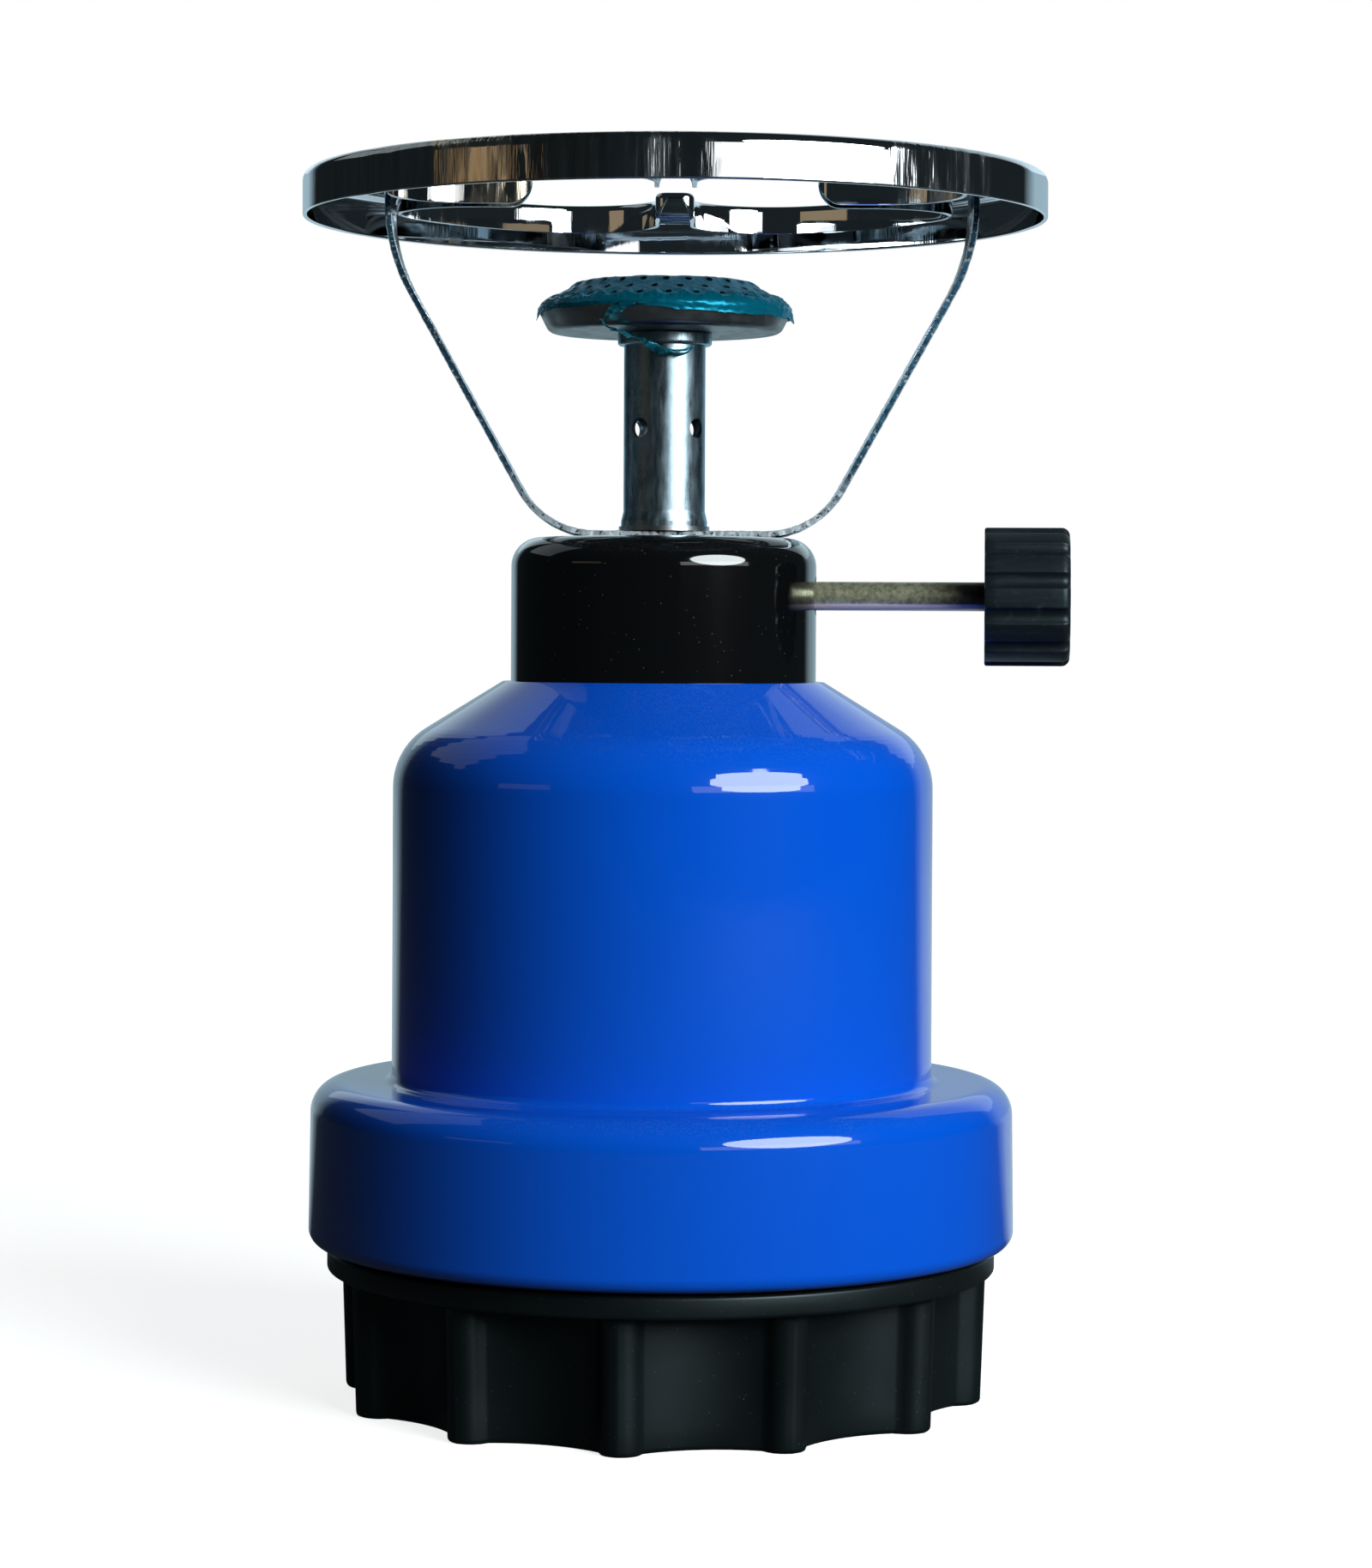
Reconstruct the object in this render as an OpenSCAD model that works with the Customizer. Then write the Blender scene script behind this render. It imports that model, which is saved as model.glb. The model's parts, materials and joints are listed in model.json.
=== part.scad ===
// Camping gas stove for a pierceable cartridge.
// The stove body screws down on a fluted base, over the cartridge.
// Origin: on the stove's axis, in the plane that the base stands on.
// +Z runs up the burner tube and +X runs out along the valve spindle.

/* [Cartridge] */
// Diameter of the gas cartridge that the stove takes
cartridge_d = 90; // [86:0.5:91]
// Height of the gas cartridge that the stove takes
cartridge_h = 94; // [88:1:98]
// Free space round the cartridge
cartridge_gap = 0.6; // [0.4:0.1:1]

/* [Base] */
// Wall of the grip between the cartridge bay and a flute
grip_t = 3.9; // [3:0.1:4.5]
// Depth of the flutes between the grip's lobes
flute_depth = 6.9; // [5:0.1:8]
// Radius of one lobe's round tip
lobe_tip_r = 3.5; // [2.5:0.25:5]
// Number of lobes round the base
lobe_count = 12; // [10:1:14]
// Height of the fluted grip
grip_h = 22.6; // [18:0.2:30]
// Distance from the skirt's outside in to the flange's outside
flange_inset = 3.3; // [2:0.1:4.5]
// Thickness of the flange above the grip
flange_t = 4; // [3:0.2:5]
// Thickness of the base's floor
floor_t = 3; // [2.5:0.25:4]
// Height of the threaded spigot above the flange
spigot_h = 19; // [14:0.5:22]

/* [Cartridge seat] */
// Thickness of the thrust plate under the cartridge
plate_t = 1.2; // [0.8:0.1:2]
// Thickness of the rubber pad on the thrust plate
pad_t = 2; // [1.5:0.25:3]
// Width of the rubber pad
pad_w = 12; // [8:1:20]

/* [Body shell] */
// Wall of the pressed steel body
shell_t = 0.8; // [0.6:0.1:1.2]
// Outer radius of the skirt
skirt_r = 61.3; // [60.5:0.1:64]
// Height of the skirt, from its rolled edge to the ledge
skirt_h = 27.8; // [26:0.2:32]
// Radius of the skirt's rolled lower edge
roll_r = 2.5; // [2:0.25:4]
// Length of the lip that the rolled edge turns in
lip_w = 0.8; // [0.5:0.1:1.5]
// Radius of the ledge's outer corner
ledge_corner_r = 5.25; // [3:0.25:6]
// Radius of the fillet between ledge and upper body
ledge_fillet_r = 1.5; // [1:0.25:5]
// Radius of the round shoulder under the cone
shoulder_r = 12; // [7:0.5:14]
// Slope of the cone, below the horizontal
cone_angle = 31.7; // [26:0.1:36]
// Height from the ledge to the start of the shoulder
upper_h = 50.9; // [49.5:0.1:54]

/* [Thread ring] */
// Height of the threaded ring inside the skirt
thread_ring_h = 17; // [12:0.5:17]
// Wall of the threaded ring
thread_ring_t = 5.7; // [4:0.1:7]

/* [Collar] */
// Outer radius of the collar round the valve
collar_r = 26.6; // [25:0.1:28]
// Height of the collar
collar_h = 25; // [24.5:0.5:28]
// Wall of the collar
collar_t = 2.4; // [1.8:0.1:2.5]
// Radius of the collar's upper edge
collar_edge_r = 5; // [3:0.25:6]
// Width of the flat step round the collar's foot
collar_step = 1.4; // [0.5:0.1:3]

/* [Valve] */
// Radius of the valve's threaded stem
stem_r = 9; // [8:0.25:10]
// Radius of the gas way through the stem
gas_way_r = 3; // [2.5:0.25:3.5]
// Radius of the valve's foot on the body
valve_foot_r = 17; // [15:0.5:18]
// Thickness of the valve's foot
valve_foot_t = 3; // [2:0.5:4]
// Radius of the valve's upright block
valve_block_r = 11; // [10:0.5:12]
// Height of the spindle above the body's top
spindle_rise = 15; // [13.5:0.1:15.5]
// Radius of the side boss that the spindle runs in
side_boss_r = 6; // [5.5:0.25:6.5]
// Distance from the axis to the end of the side boss
side_boss_x = 17; // [15:0.5:18]
// Radius of the outlet spigot that the burner tube screws on
outlet_r = 5.4; // [5:0.1:5.7]
// Height of the outlet spigot above the support strip
outlet_h = 8; // [6:0.5:10]
// Thickness of the nut under the body's top
valve_nut_t = 6; // [5:0.5:8]
// Width of the valve nut across its flats
valve_nut_af = 27; // [25:0.5:30]
// Thickness of the bush brazed under the body's top
bush_t = 2.5; // [1.5:0.25:4]
// Outer radius of that bush
bush_r = 20; // [18:0.5:22]

/* [Piercing needle] */
// Radius of the piercing needle
needle_r = 1.5; // [1.2:0.1:2]
// Depth that the needle reaches into the cartridge
needle_reach = 4; // [2:0.5:6]
// Thickness of the rubber seal on the cartridge
seal_t = 3; // [2:0.25:4]
// Outer radius of that seal
seal_r = 7.5; // [6.5:0.25:8]

/* [Spindle and knob] */
// Radius of the spindle's shaft
shaft_r = 2.5; // [2:0.1:2.8]
// Distance from the axis to the knob's inner face
knob_x = 55.8; // [50:0.2:65]
// Length of the knob
knob_l = 14.7; // [12:0.1:18]
// Outer radius of the knob
knob_r = 12; // [10:0.1:14]
// Number of grooves round the knob
knob_grooves = 12; // [8:1:16]
// Radius of one groove
knob_groove_r = 1.6; // [1.2:0.1:2]
// Depth of one groove
knob_groove_depth = 0.9; // [0.5:0.1:1.1]
// Thickness of the spindle's seal
spindle_seal_t = 1.8; // [1.2:0.1:2.4]
// Length of the gland nut
gland_l = 5.2; // [4.5:0.2:5.4]
// Width of the gland nut across its flats
gland_af = 12; // [11:0.5:13]

/* [Burner] */
// Outer radius of the burner tube
tube_r = 7.1; // [6.8:0.1:8]
// Wall of the burner tube
tube_t = 0.8; // [0.6:0.1:1]
// Outer radius of the tube's flared foot
tube_foot_r = 7.5; // [7.2:0.1:8.5]
// Length of the burner tube, from the strip's washer to the head
tube_l = 33.7; // [28:0.1:40]
// Height of the air holes above the tube's foot
air_hole_rise = 17; // [14:0.5:20]
// Radius of one air hole
air_hole_r = 1.7; // [1:0.1:2]
// Number of air holes
air_holes = 4; // [3:1:4]
// Outer radius of the ring under the head
neck_ring_r = 8.2; // [8:0.1:9]
// Height of the ring under the head
neck_ring_h = 2.2; // [1.5:0.1:3]
// Outer radius of the head's cup at its lip
cup_r = 21.8; // [20:0.2:24]
// Difference between the cup's radius at its lip and at its foot
cup_taper = 0.9; // [0.6:0.1:1.6]
// Height of the head's cup
cup_h = 3.7; // [3.4:0.1:6]
// Sheet thickness of the head's cup and cap
head_t = 0.8; // [0.6:0.1:0.9]
// Radius round the cup's lower corner
cup_corner_r = 1.6; // [1.2:0.1:2.4]
// Height of the cap's sloping flank
flank_h = 5; // [4.6:0.1:6.5]
// Radius of the cap's crown, inside the flank
crown_r = 15; // [13:0.2:16]
// Height of the crown above the flank
crown_h = 0.8; // [0.4:0.1:1.5]
// Number of ports in one row round the cap
ports = 26; // [20:1:28]
// Radius of one port
port_r = 0.65; // [0.4:0.05:0.7]

/* [Pan support] */
// Thickness of the strip that carries the pan ring
strip_t = 1.2; // [1:0.1:1.6]
// Width of that strip
strip_w = 13; // [10:0.5:16]
// Half length of the strip's flat foot
strip_flat = 14.8; // [12:0.1:18]
// Radius of the bend beside the flat foot
strip_bend_r = 15; // [8:0.5:18]
// Radius of the legs' upper bend
strip_upper_r = 32; // [26:1:40]
// Distance from the axis to the strip's upright ends
strip_top_x = 50.9; // [50:0.1:54]
// Length of the strip's upright ends
upright_l = 1.9; // [0.5:0.1:10]
// Distance that the strip sits off the axis
strip_shift = 2.9; // [0:0.1:4]
// Angle of the strip and the ring from the spindle, seen from above
rest_turn = 4.6; // [-30:0.2:30]
// Length of the tab that is welded under the ring
tab_l = 8; // [6:0.5:9]
// Height of the stove
stove_h = 212.5; // [208:0.1:220]
// Outer radius of the pan ring
ring_r = 64.8; // [64:0.2:70]
// Height of the pan ring's outer band
band_h = 7.7; // [5:0.1:9]
// Distance that the pan ring sits off the axis
ring_shift = 1.7; // [0:0.1:3]
// Sheet thickness of the pan ring
ring_t = 0.8; // [0.6:0.1:1.2]
// Radius round the ring's upper edge
ring_edge_r = 1.8; // [1:0.2:2.5]
// Radius of the opening inside the ring
opening_r = 53; // [51:0.25:55]
// Width of one finger
finger_w = 7.1; // [6:0.1:10]
// Distance from the axis to a finger's tip
finger_tip_r = 25; // [20:0.5:30]
// Radius of the fillets at a finger's root
finger_root_r = 14; // [10:0.5:15]
// Height of the flange round the opening
inner_flange_h = 5.2; // [3:0.2:6]
// Length over which the flange runs out at a finger's tip
flange_run_out = 4; // [3:0.25:6]

/* [Hidden] */
$fn = 96;
cut = 0.5;            // how far a cut runs past a face
run_gap = 0.05;       // radial clearance of a running fit
thread_gap = 0.08;    // radial clearance between the two threads
fit_gap = 0.1;        // radial clearance of a piece that is dropped or pushed in
close_gap = 0.6;      // gap between flange and skirt when the base is screwed home
arc_steps = 8;        // chords in a drawn arc

// base
bay_r = cartridge_d / 2 + cartridge_gap;
flute_r = bay_r + grip_t;
lobe_r = flute_r + flute_depth;
lobe_phase = -2.4;    // angle of the first lobe from +X
flange_top = grip_h + flange_t;
flange_r = skirt_r - flange_inset;
spigot_top = flange_top + spigot_h;

// cartridge seat, and the cartridge on it
pad_inset = 1;        // distance from the cartridge's edge in to the pad
plate_z = floor_t;
pad_z = plate_z + plate_t;
cartridge_z = pad_z + pad_t;
cartridge_top = cartridge_z + cartridge_h;

// body shell, from its rolled edge up
shell_gap = 0.6;      // space between the bay's radius and the upper body
neck_gap = 0.3;       // radial space round the valve stem in the body's top
skirt_z = flange_top + close_gap;
ledge_z = skirt_z + skirt_h;
upper_r = bay_r + shell_gap + shell_t;
shoulder_z = ledge_z + upper_h;
shoulder_end = [upper_r - shoulder_r * (1 - sin(cone_angle)), shoulder_z + shoulder_r * cos(cone_angle)];
shell_top_r = collar_r + collar_step;
cone_top_z = shoulder_end[1] + (shoulder_end[0] - shell_top_r) * tan(cone_angle);
neck_hole_r = stem_r + neck_gap;

// threads between base and skirt
ring_rise = 0.3;      // height of the threaded ring above the end of the skirt's roll
thread_ring_r = skirt_r - shell_t - fit_gap;
thread_bore_r = thread_ring_r - thread_ring_t;
spigot_r = thread_bore_r - thread_gap;
thread_ring_z = skirt_z + roll_r + ring_rise;

// valve
seal_land = 0.5;      // width of the needle's end face under the seal's bore
gas_bore_r = 1.2;     // gas way above the spindle
gas_overlap = 2;      // how far the lower gas way runs past the spindle's axis
seat_w = 2;           // distance from the gas way to the tip of the closed spindle
thread_rise = 1;      // height of the spindle's threaded stretch over its shaft
thread_set = 3;       // distance from the spindle's tip to its threaded bore
thread_float = 0.5;   // space beside the threaded stretch when the valve is closed
thread_play = 2;      // shorter than its bore by this, so that the valve can open
gland_wall = 1.4;     // wall of the spindle's seal
gland_depth = 4;      // depth of the gland in the side boss
seal_float = 0.4;     // space on each side of the spindle's seal
washer_t = 0.8;
jet_r = 2.6;
jet_l = 7;
jet_wall = 1;
jet_hole_r = 0.3;
jet_head_h = 1.5;
jet_flat = 0.4;       // difference between the jet's diameter and its hexagon
shaft_z = cone_top_z + spindle_rise;
collar_top = cone_top_z + collar_h;
stem_z = cartridge_top + seal_t;
needle_z = cartridge_top - needle_reach;
seal_bore_r = gas_way_r + seal_land;
nut_z = cone_top_z - shell_t - bush_t - valve_nut_t;
seat_x = gas_way_r + seat_w;
thread_r = shaft_r + thread_rise;
thread_x = seat_x + thread_set;
gland_bore_r = shaft_r + gland_wall;
seal_x = side_boss_x - gland_depth + seal_float;
thread_l = seal_x - thread_x - thread_play;
strip_z = collar_top;
outlet_top = strip_z + strip_t + outlet_h;

// needle and filter in the stem
needle_base_rise = 4; // height of the needle's base in the stem
needle_base_t = 2;
needle_tip_r = 0.2;
slot_r = 0.5;         // radius of a gas hole in the needle's base
slot_count = 3;
filter_rise = 7;
filter_t = 5;

// knob
knob_edge = 1.5;      // chamfer round the knob's outer end
knob_wall = 3;        // wall round the hollow in its inner end
knob_hub_t = 2;       // wall of its hub
knob_hollow = 4;      // depth of that hollow
knob_stop = 2;        // distance from the inner end to the start of the grooves
knob_phase = 16.5;    // angle of the first groove
knob_cap = 1.5;       // thickness of the knob over the spindle's end
spindle_tip_l = 2;
spindle_tip_r = 0.4;
collar_hole_gap = 1;  // radial space round the spindle in the collar

// burner
rim_h = 0.5;          // height of the upright rim of the head's cup
cup_lean = 25;        // angle at the end of the cup's round corner
neck_t = 0.7;         // wall of the tube's neck in the head
neck_spare = 0.1;     // height of that neck above the nut
foot_h = 3;           // height of the tube's flared foot
air_hole_phase = 56.6; // angle of the first air hole from +X
washer_edge = 0.4;    // how far the washer sticks out round that foot
head_nut_t = 1.5;
head_nut_af = 22;
baffle_t = 0.4;
baffle_bore_r = 2;
baffle_holes = 8;
baffle_hole_r = 2;
baffle_hole_x = 15;   // distance from the axis to those holes
port_rows = 3;
film_t = 0.3;
film_gap = 0.02;
tube_z = strip_z + strip_t + washer_t;
cup_z = tube_z + tube_l;
neck_ring_z = cup_z - neck_ring_h;
lip_z = cup_z + cup_h;
tube_bore_r = tube_r - tube_t;
neck_r = tube_bore_r + neck_t;
tube_top = cup_z + head_t + head_nut_t + neck_spare;
baffle_z = lip_z - rim_h;
baffle_r = cup_r - head_t - fit_gap;

// pan support: the legs lean from the foot's bend to the upper bend
tab_bend_r = 2;
ring_lap = 4;         // how far the ring's flat overlaps its rounded edge
ring_under = stove_h - ring_t;
leg_top_z = ring_under - strip_t / 2 - tab_bend_r;
foot_centre = [strip_flat, strip_z + strip_t / 2 + strip_bend_r];
upper_centre = [strip_top_x - strip_upper_r, leg_top_z - upright_l];
leg_span = upper_centre - foot_centre;
strip_angle = atan2(leg_span[1], leg_span[0]) - asin((strip_upper_r - strip_bend_r) / norm(leg_span));
half_finger = finger_w / 2;

// points along an arc, from angle a0 to a1
function arc(centre, r, a0, a1) =
    [for (i = [0:arc_steps]) let (a = a0 + (a1 - a0) * i / arc_steps) centre + r * [cos(a), sin(a)]];

function reversed(points) = [for (i = [len(points) - 1:-1:0]) points[i]];

// unit normal on the left of the step from p to q
function left_normal(p, q) = let (d = (q - p) / norm(q - p)) [-d[1], d[0]];

// a line of points moved to its left by d
function shifted(points, d) = [
    for (i = [0:len(points) - 1])
        let (
            before = left_normal(points[max(i - 1, 0)], points[max(i, 1)]),
            after = left_normal(points[min(i, len(points) - 2)], points[min(i + 1, len(points) - 1)]),
            middle = (before + after) / norm(before + after)
        )
        points[i] + middle * d / (middle * before)
];

// a ribbon of thickness t round a line of points
function ribbon(points, t) = concat(shifted(points, t / 2), reversed(shifted(points, -t / 2)));

module bore_tube(r_out, r_in, h) {
    difference() {
        cylinder(r = r_out, h = h);
        translate([0, 0, -cut]) cylinder(r = r_in, h = h + 2 * cut);
    }
}

module hexagon(across_flats) {
    circle(r = across_flats / sqrt(3), $fn = 6);
}

module along_x(x) {
    translate([x, 0, shaft_z]) rotate([0, 90, 0]) children();
}

// ---------------------------------------------------------------- base

tip_centre_r = lobe_r - lobe_tip_r;
lobe_half_angle = 180 / lobe_count - asin(lobe_tip_r / tip_centre_r);
flute_edge = tip_centre_r * [cos(lobe_half_angle), sin(lobe_half_angle)];
flute_arc_r = (pow(flute_edge[0] - flute_r, 2) + pow(flute_edge[1], 2)) / (2 * (flute_edge[0] - flute_r));

module grip_outline() {
    difference() {
        circle(r = tip_centre_r);
        for (i = [0:lobe_count - 1])
            rotate(lobe_phase + (i + 0.5) * 360 / lobe_count) translate([flute_r + flute_arc_r, 0])
                circle(r = flute_arc_r);
    }
    for (i = [0:lobe_count - 1])
        rotate(lobe_phase + i * 360 / lobe_count) translate([tip_centre_r, 0]) circle(r = lobe_tip_r);
}

module base_cup() {
    color("#1c1d1f") difference() {
        union() {
            linear_extrude(grip_h) grip_outline();
            translate([0, 0, grip_h]) cylinder(r = flange_r, h = flange_t);
            translate([0, 0, flange_top]) cylinder(r = spigot_r, h = spigot_h);
        }
        translate([0, 0, floor_t]) cylinder(r = bay_r, h = spigot_top);
    }
}

module thrust_plate() {
    color("silver") translate([0, 0, plate_z]) bore_tube(bay_r - fit_gap, pad_w, plate_t);
}

module cartridge_pad() {
    pad_r = cartridge_d / 2 - pad_inset;
    color("#2a2a2a") translate([0, 0, pad_z]) bore_tube(pad_r, pad_r - pad_w, pad_t);
}

// ---------------------------------------------------------------- body

// middle line of the pressed sheet, from the rolled lip to the hole under the collar
function shell_line() = let (h = shell_t / 2) concat(
    [[skirt_r - roll_r - lip_w, skirt_z + h]],
    arc([skirt_r - roll_r, skirt_z + roll_r], roll_r - h, -90, 0),
    arc([skirt_r - ledge_corner_r, ledge_z - ledge_corner_r], ledge_corner_r - h, 0, 90),
    arc([upper_r + ledge_fillet_r, ledge_z + ledge_fillet_r], ledge_fillet_r + h, 270, 180),
    arc([upper_r - shoulder_r, shoulder_z], shoulder_r - h, 0, 90 - cone_angle),
    [[shell_top_r, cone_top_z - h], [neck_hole_r, cone_top_z - h]]
);

module body_shell() {
    color("#0054d4") rotate_extrude() polygon(ribbon(shell_line(), shell_t));
}

module thread_ring() {
    color("#1c1d1f") translate([0, 0, thread_ring_z]) bore_tube(thread_ring_r, thread_bore_r, thread_ring_h);
}

module neck_bush() {
    color("#8d8f92") translate([0, 0, cone_top_z - shell_t - bush_t]) bore_tube(bush_r, neck_hole_r, bush_t);
}

module valve_nut() {
    color("#b08d3f") translate([0, 0, nut_z]) difference() {
        linear_extrude(valve_nut_t) hexagon(valve_nut_af);
        translate([0, 0, -cut]) cylinder(r = stem_r, h = valve_nut_t + 2 * cut);
    }
}

// ---------------------------------------------------------------- valve

module valve_body() {
    color("#b08d3f") difference() {
        union() {
            translate([0, 0, stem_z]) cylinder(r = stem_r, h = cone_top_z - stem_z);
            translate([0, 0, cone_top_z]) cylinder(r = valve_foot_r, h = valve_foot_t);
            translate([0, 0, cone_top_z]) cylinder(r = valve_block_r, h = collar_h - collar_t - fit_gap);
            translate([0, 0, cone_top_z]) cylinder(r = outlet_r, h = outlet_top - cone_top_z);
            along_x(0) cylinder(r = side_boss_r, h = side_boss_x);
        }
        // gas way up to the needle's seat, and from the seat up to the jet
        translate([0, 0, stem_z - cut]) cylinder(r = gas_way_r, h = shaft_z - stem_z + gas_overlap);
        translate([0, 0, shaft_z]) cylinder(r = gas_bore_r, h = outlet_top - shaft_z);
        translate([0, 0, outlet_top - jet_l]) cylinder(r = jet_r, h = jet_l + cut);
        // spindle's thread and gland
        along_x(seat_x) cylinder(r = shaft_r + run_gap, h = side_boss_x);
        along_x(thread_x) cylinder(r = thread_r + run_gap, h = seal_x - thread_x - seal_float);
        along_x(side_boss_x - gland_depth) cylinder(r = gland_bore_r + run_gap, h = gland_depth + cut);
    }
}

module piercing_needle() {
    base_z = stem_z + needle_base_rise;
    color("silver") {
        translate([0, 0, needle_z]) cylinder(r1 = needle_tip_r, r2 = needle_r, h = needle_reach);
        translate([0, 0, cartridge_top]) cylinder(r = needle_r, h = base_z - cartridge_top);
        translate([0, 0, base_z]) difference() {
            cylinder(r = gas_way_r, h = needle_base_t);
            for (i = [0:slot_count - 1])
                rotate(i * 360 / slot_count) translate([(needle_r + gas_way_r) / 2, 0, -cut])
                    cylinder(r = slot_r, h = needle_base_t + 2 * cut);
        }
    }
}

module cartridge_seal() {
    color("#303030") translate([0, 0, cartridge_top]) bore_tube(seal_r, seal_bore_r, seal_t);
}

module gas_filter() {
    color("#b9a06a") translate([0, 0, stem_z + filter_rise]) cylinder(r = gas_way_r, h = filter_t);
}

module jet() {
    color("#c9a54a") translate([0, 0, outlet_top - jet_l]) difference() {
        union() {
            cylinder(r = jet_r, h = jet_l);
            translate([0, 0, jet_l]) linear_extrude(jet_head_h) hexagon(2 * jet_r - jet_flat);
        }
        translate([0, 0, -cut]) cylinder(r = jet_r - jet_wall, h = jet_l);
        cylinder(r = jet_hole_r, h = jet_l + jet_head_h + cut);
    }
}

module gland_nut() {
    color("#c2b280") along_x(side_boss_x) difference() {
        linear_extrude(gland_l) hexagon(gland_af);
        translate([0, 0, -cut]) cylinder(r = shaft_r + run_gap, h = gland_l + 2 * cut);
    }
}

module spindle_seal() {
    color("#303030") along_x(seal_x) bore_tube(gland_bore_r, shaft_r + run_gap, spindle_seal_t);
}

module spindle() {
    shaft_start = seat_x + spindle_tip_l;
    color("#b3a457") {
        along_x(seat_x) cylinder(r1 = spindle_tip_r, r2 = shaft_r, h = spindle_tip_l);
        along_x(shaft_start) cylinder(r = shaft_r, h = knob_x + knob_l - knob_cap - shaft_start);
        along_x(thread_x + thread_float) cylinder(r = thread_r, h = thread_l);
    }
}

module control_knob() {
    groove_x = knob_r + knob_groove_r - knob_groove_depth;
    color("#1c1d1f") along_x(knob_x) difference() {
        union() {
            cylinder(r = knob_r, h = knob_l - knob_edge);
            translate([0, 0, knob_l - knob_edge])
                cylinder(r1 = knob_r, r2 = knob_r - knob_edge, h = knob_edge);
        }
        for (i = [0:knob_grooves - 1])
            rotate(knob_phase + i * 360 / knob_grooves) translate([groove_x, 0, knob_stop])
                cylinder(r = knob_groove_r, h = knob_l);
        translate([0, 0, -cut]) cylinder(r = shaft_r, h = knob_l - knob_cap + cut);
        // hollow round the hub
        translate([0, 0, -cut]) bore_tube(knob_r - knob_wall, shaft_r + knob_hub_t, knob_hollow + cut);
    }
}

module collar() {
    line = let (h = collar_t / 2) concat(
        [[collar_r - h, cone_top_z]],
        arc([collar_r - collar_edge_r, collar_top - collar_edge_r], collar_edge_r - h, 0, 90),
        [[outlet_r + fit_gap, collar_top - h]]
    );
    color("#1c1d1f") difference() {
        rotate_extrude() polygon(ribbon(line, collar_t));
        along_x(collar_r - 2 * collar_t) cylinder(r = shaft_r + collar_hole_gap, h = 4 * collar_t);
    }
}

// ---------------------------------------------------------------- pan support

// turns and moves a piece of the pan support to its place beside the axis
module rest_place(shift) {
    rotate([0, 0, rest_turn]) translate([shift, 0, 0]) children();
}

// middle line of one leg of the strip, from its middle out to the end of its tab
function strip_line() = concat(
    [[0, strip_z + strip_t / 2]],
    arc(foot_centre, strip_bend_r, -90, strip_angle - 90),
    arc(upper_centre, strip_upper_r, strip_angle - 90, 0),
    arc([strip_top_x + tab_bend_r, leg_top_z], tab_bend_r, 180, 90),
    [[strip_top_x + tab_bend_r + tab_l, leg_top_z + tab_bend_r]]
);

module support_strip() {
    color("silver") difference() {
        rest_place(strip_shift)
            for (side = [0, 1])
                mirror([side, 0, 0]) rotate([90, 0, 0]) translate([0, 0, -strip_w / 2])
                    linear_extrude(strip_w) polygon(ribbon(strip_line(), strip_t));
        translate([0, 0, strip_z - cut]) cylinder(r = outlet_r + fit_gap, h = strip_t + 2 * cut);
    }
}

module strip_washer() {
    color("silver") translate([0, 0, strip_z + strip_t]) bore_tube(tube_foot_r + washer_edge,
        outlet_r + fit_gap, washer_t);
}

// outline of one quarter of the clover-shaped opening; g grows the opening into the sheet
function petal(g) =
    let (
        r = opening_r + g,
        h = half_finger - g,
        fillet = finger_root_r + g,
        c = h + fillet,
        far = sqrt(pow(r - fillet, 2) - c * c),
        turn = atan2(c, far)
    )
    concat(
        [[finger_tip_r + g, h]],
        arc([far, c], fillet, -90, turn),
        arc([0, 0], r, turn, 90 - turn),
        arc([c, far], fillet, 90 - turn, 180),
        [[h, finger_tip_r + g]]
    );

function turned(points, a) =
    [for (p = points) [p[0] * cos(a) - p[1] * sin(a), p[0] * sin(a) + p[1] * cos(a)]];

function clover(g) = [for (q = [0:3]) for (p = turned(petal(g), q * 90)) p];

// what is cut from a finger's flanges near its tip
module tip_relief() {
    depth = inner_flange_h - ring_t;
    curve = [for (i = [0:arc_steps]) let (a = 90 * i / arc_steps)
        [finger_tip_r + flange_run_out * (1 - cos(a)), ring_under - depth * sin(a)]];
    low = ring_under - 2 * depth;
    outline = concat([[finger_tip_r - cut, ring_under]], curve,
        [[finger_tip_r + flange_run_out, low], [finger_tip_r - cut, low]]);
    rotate([90, 0, 0]) translate([0, 0, -finger_w]) linear_extrude(2 * finger_w) polygon(outline);
}

module pan_ring() {
    h = ring_t / 2;
    band_line = concat(
        [[ring_r - h, stove_h - band_h]],
        arc([ring_r - ring_edge_r, stove_h - ring_edge_r], ring_edge_r - h, 0, 90),
        [[opening_r + ring_lap / 2, stove_h - h]]
    );
    color("silver") rest_place(ring_shift) {
        rotate_extrude() polygon(ribbon(band_line, ring_t));
        translate([0, 0, ring_under]) linear_extrude(ring_t) difference() {
            circle(r = opening_r + ring_lap);
            polygon(clover(0));
        }
        difference() {
            translate([0, 0, stove_h - inner_flange_h]) linear_extrude(inner_flange_h) difference() {
                polygon(clover(ring_t));
                polygon(clover(0));
            }
            for (q = [0:3])
                rotate(q * 90) tip_relief();
        }
    }
}

// ---------------------------------------------------------------- burner

module burner_tube() {
    color("#b9bcc0") difference() {
        union() {
            translate([0, 0, tube_z]) cylinder(r1 = tube_foot_r, r2 = tube_r, h = foot_h);
            translate([0, 0, tube_z + foot_h]) cylinder(r = tube_r, h = tube_l - foot_h);
            translate([0, 0, cup_z]) cylinder(r = neck_r, h = tube_top - cup_z);
        }
        translate([0, 0, outlet_top]) cylinder(r = tube_bore_r, h = tube_top);
        translate([0, 0, tube_z - cut]) cylinder(r = outlet_r, h = outlet_top);
        for (i = [0:air_holes - 1])
            rotate(air_hole_phase + i * 360 / air_holes)
                translate([0, 0, tube_z + air_hole_rise]) rotate([0, 90, 0])
                    cylinder(r = air_hole_r, h = 2 * tube_r);
    }
}

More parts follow.
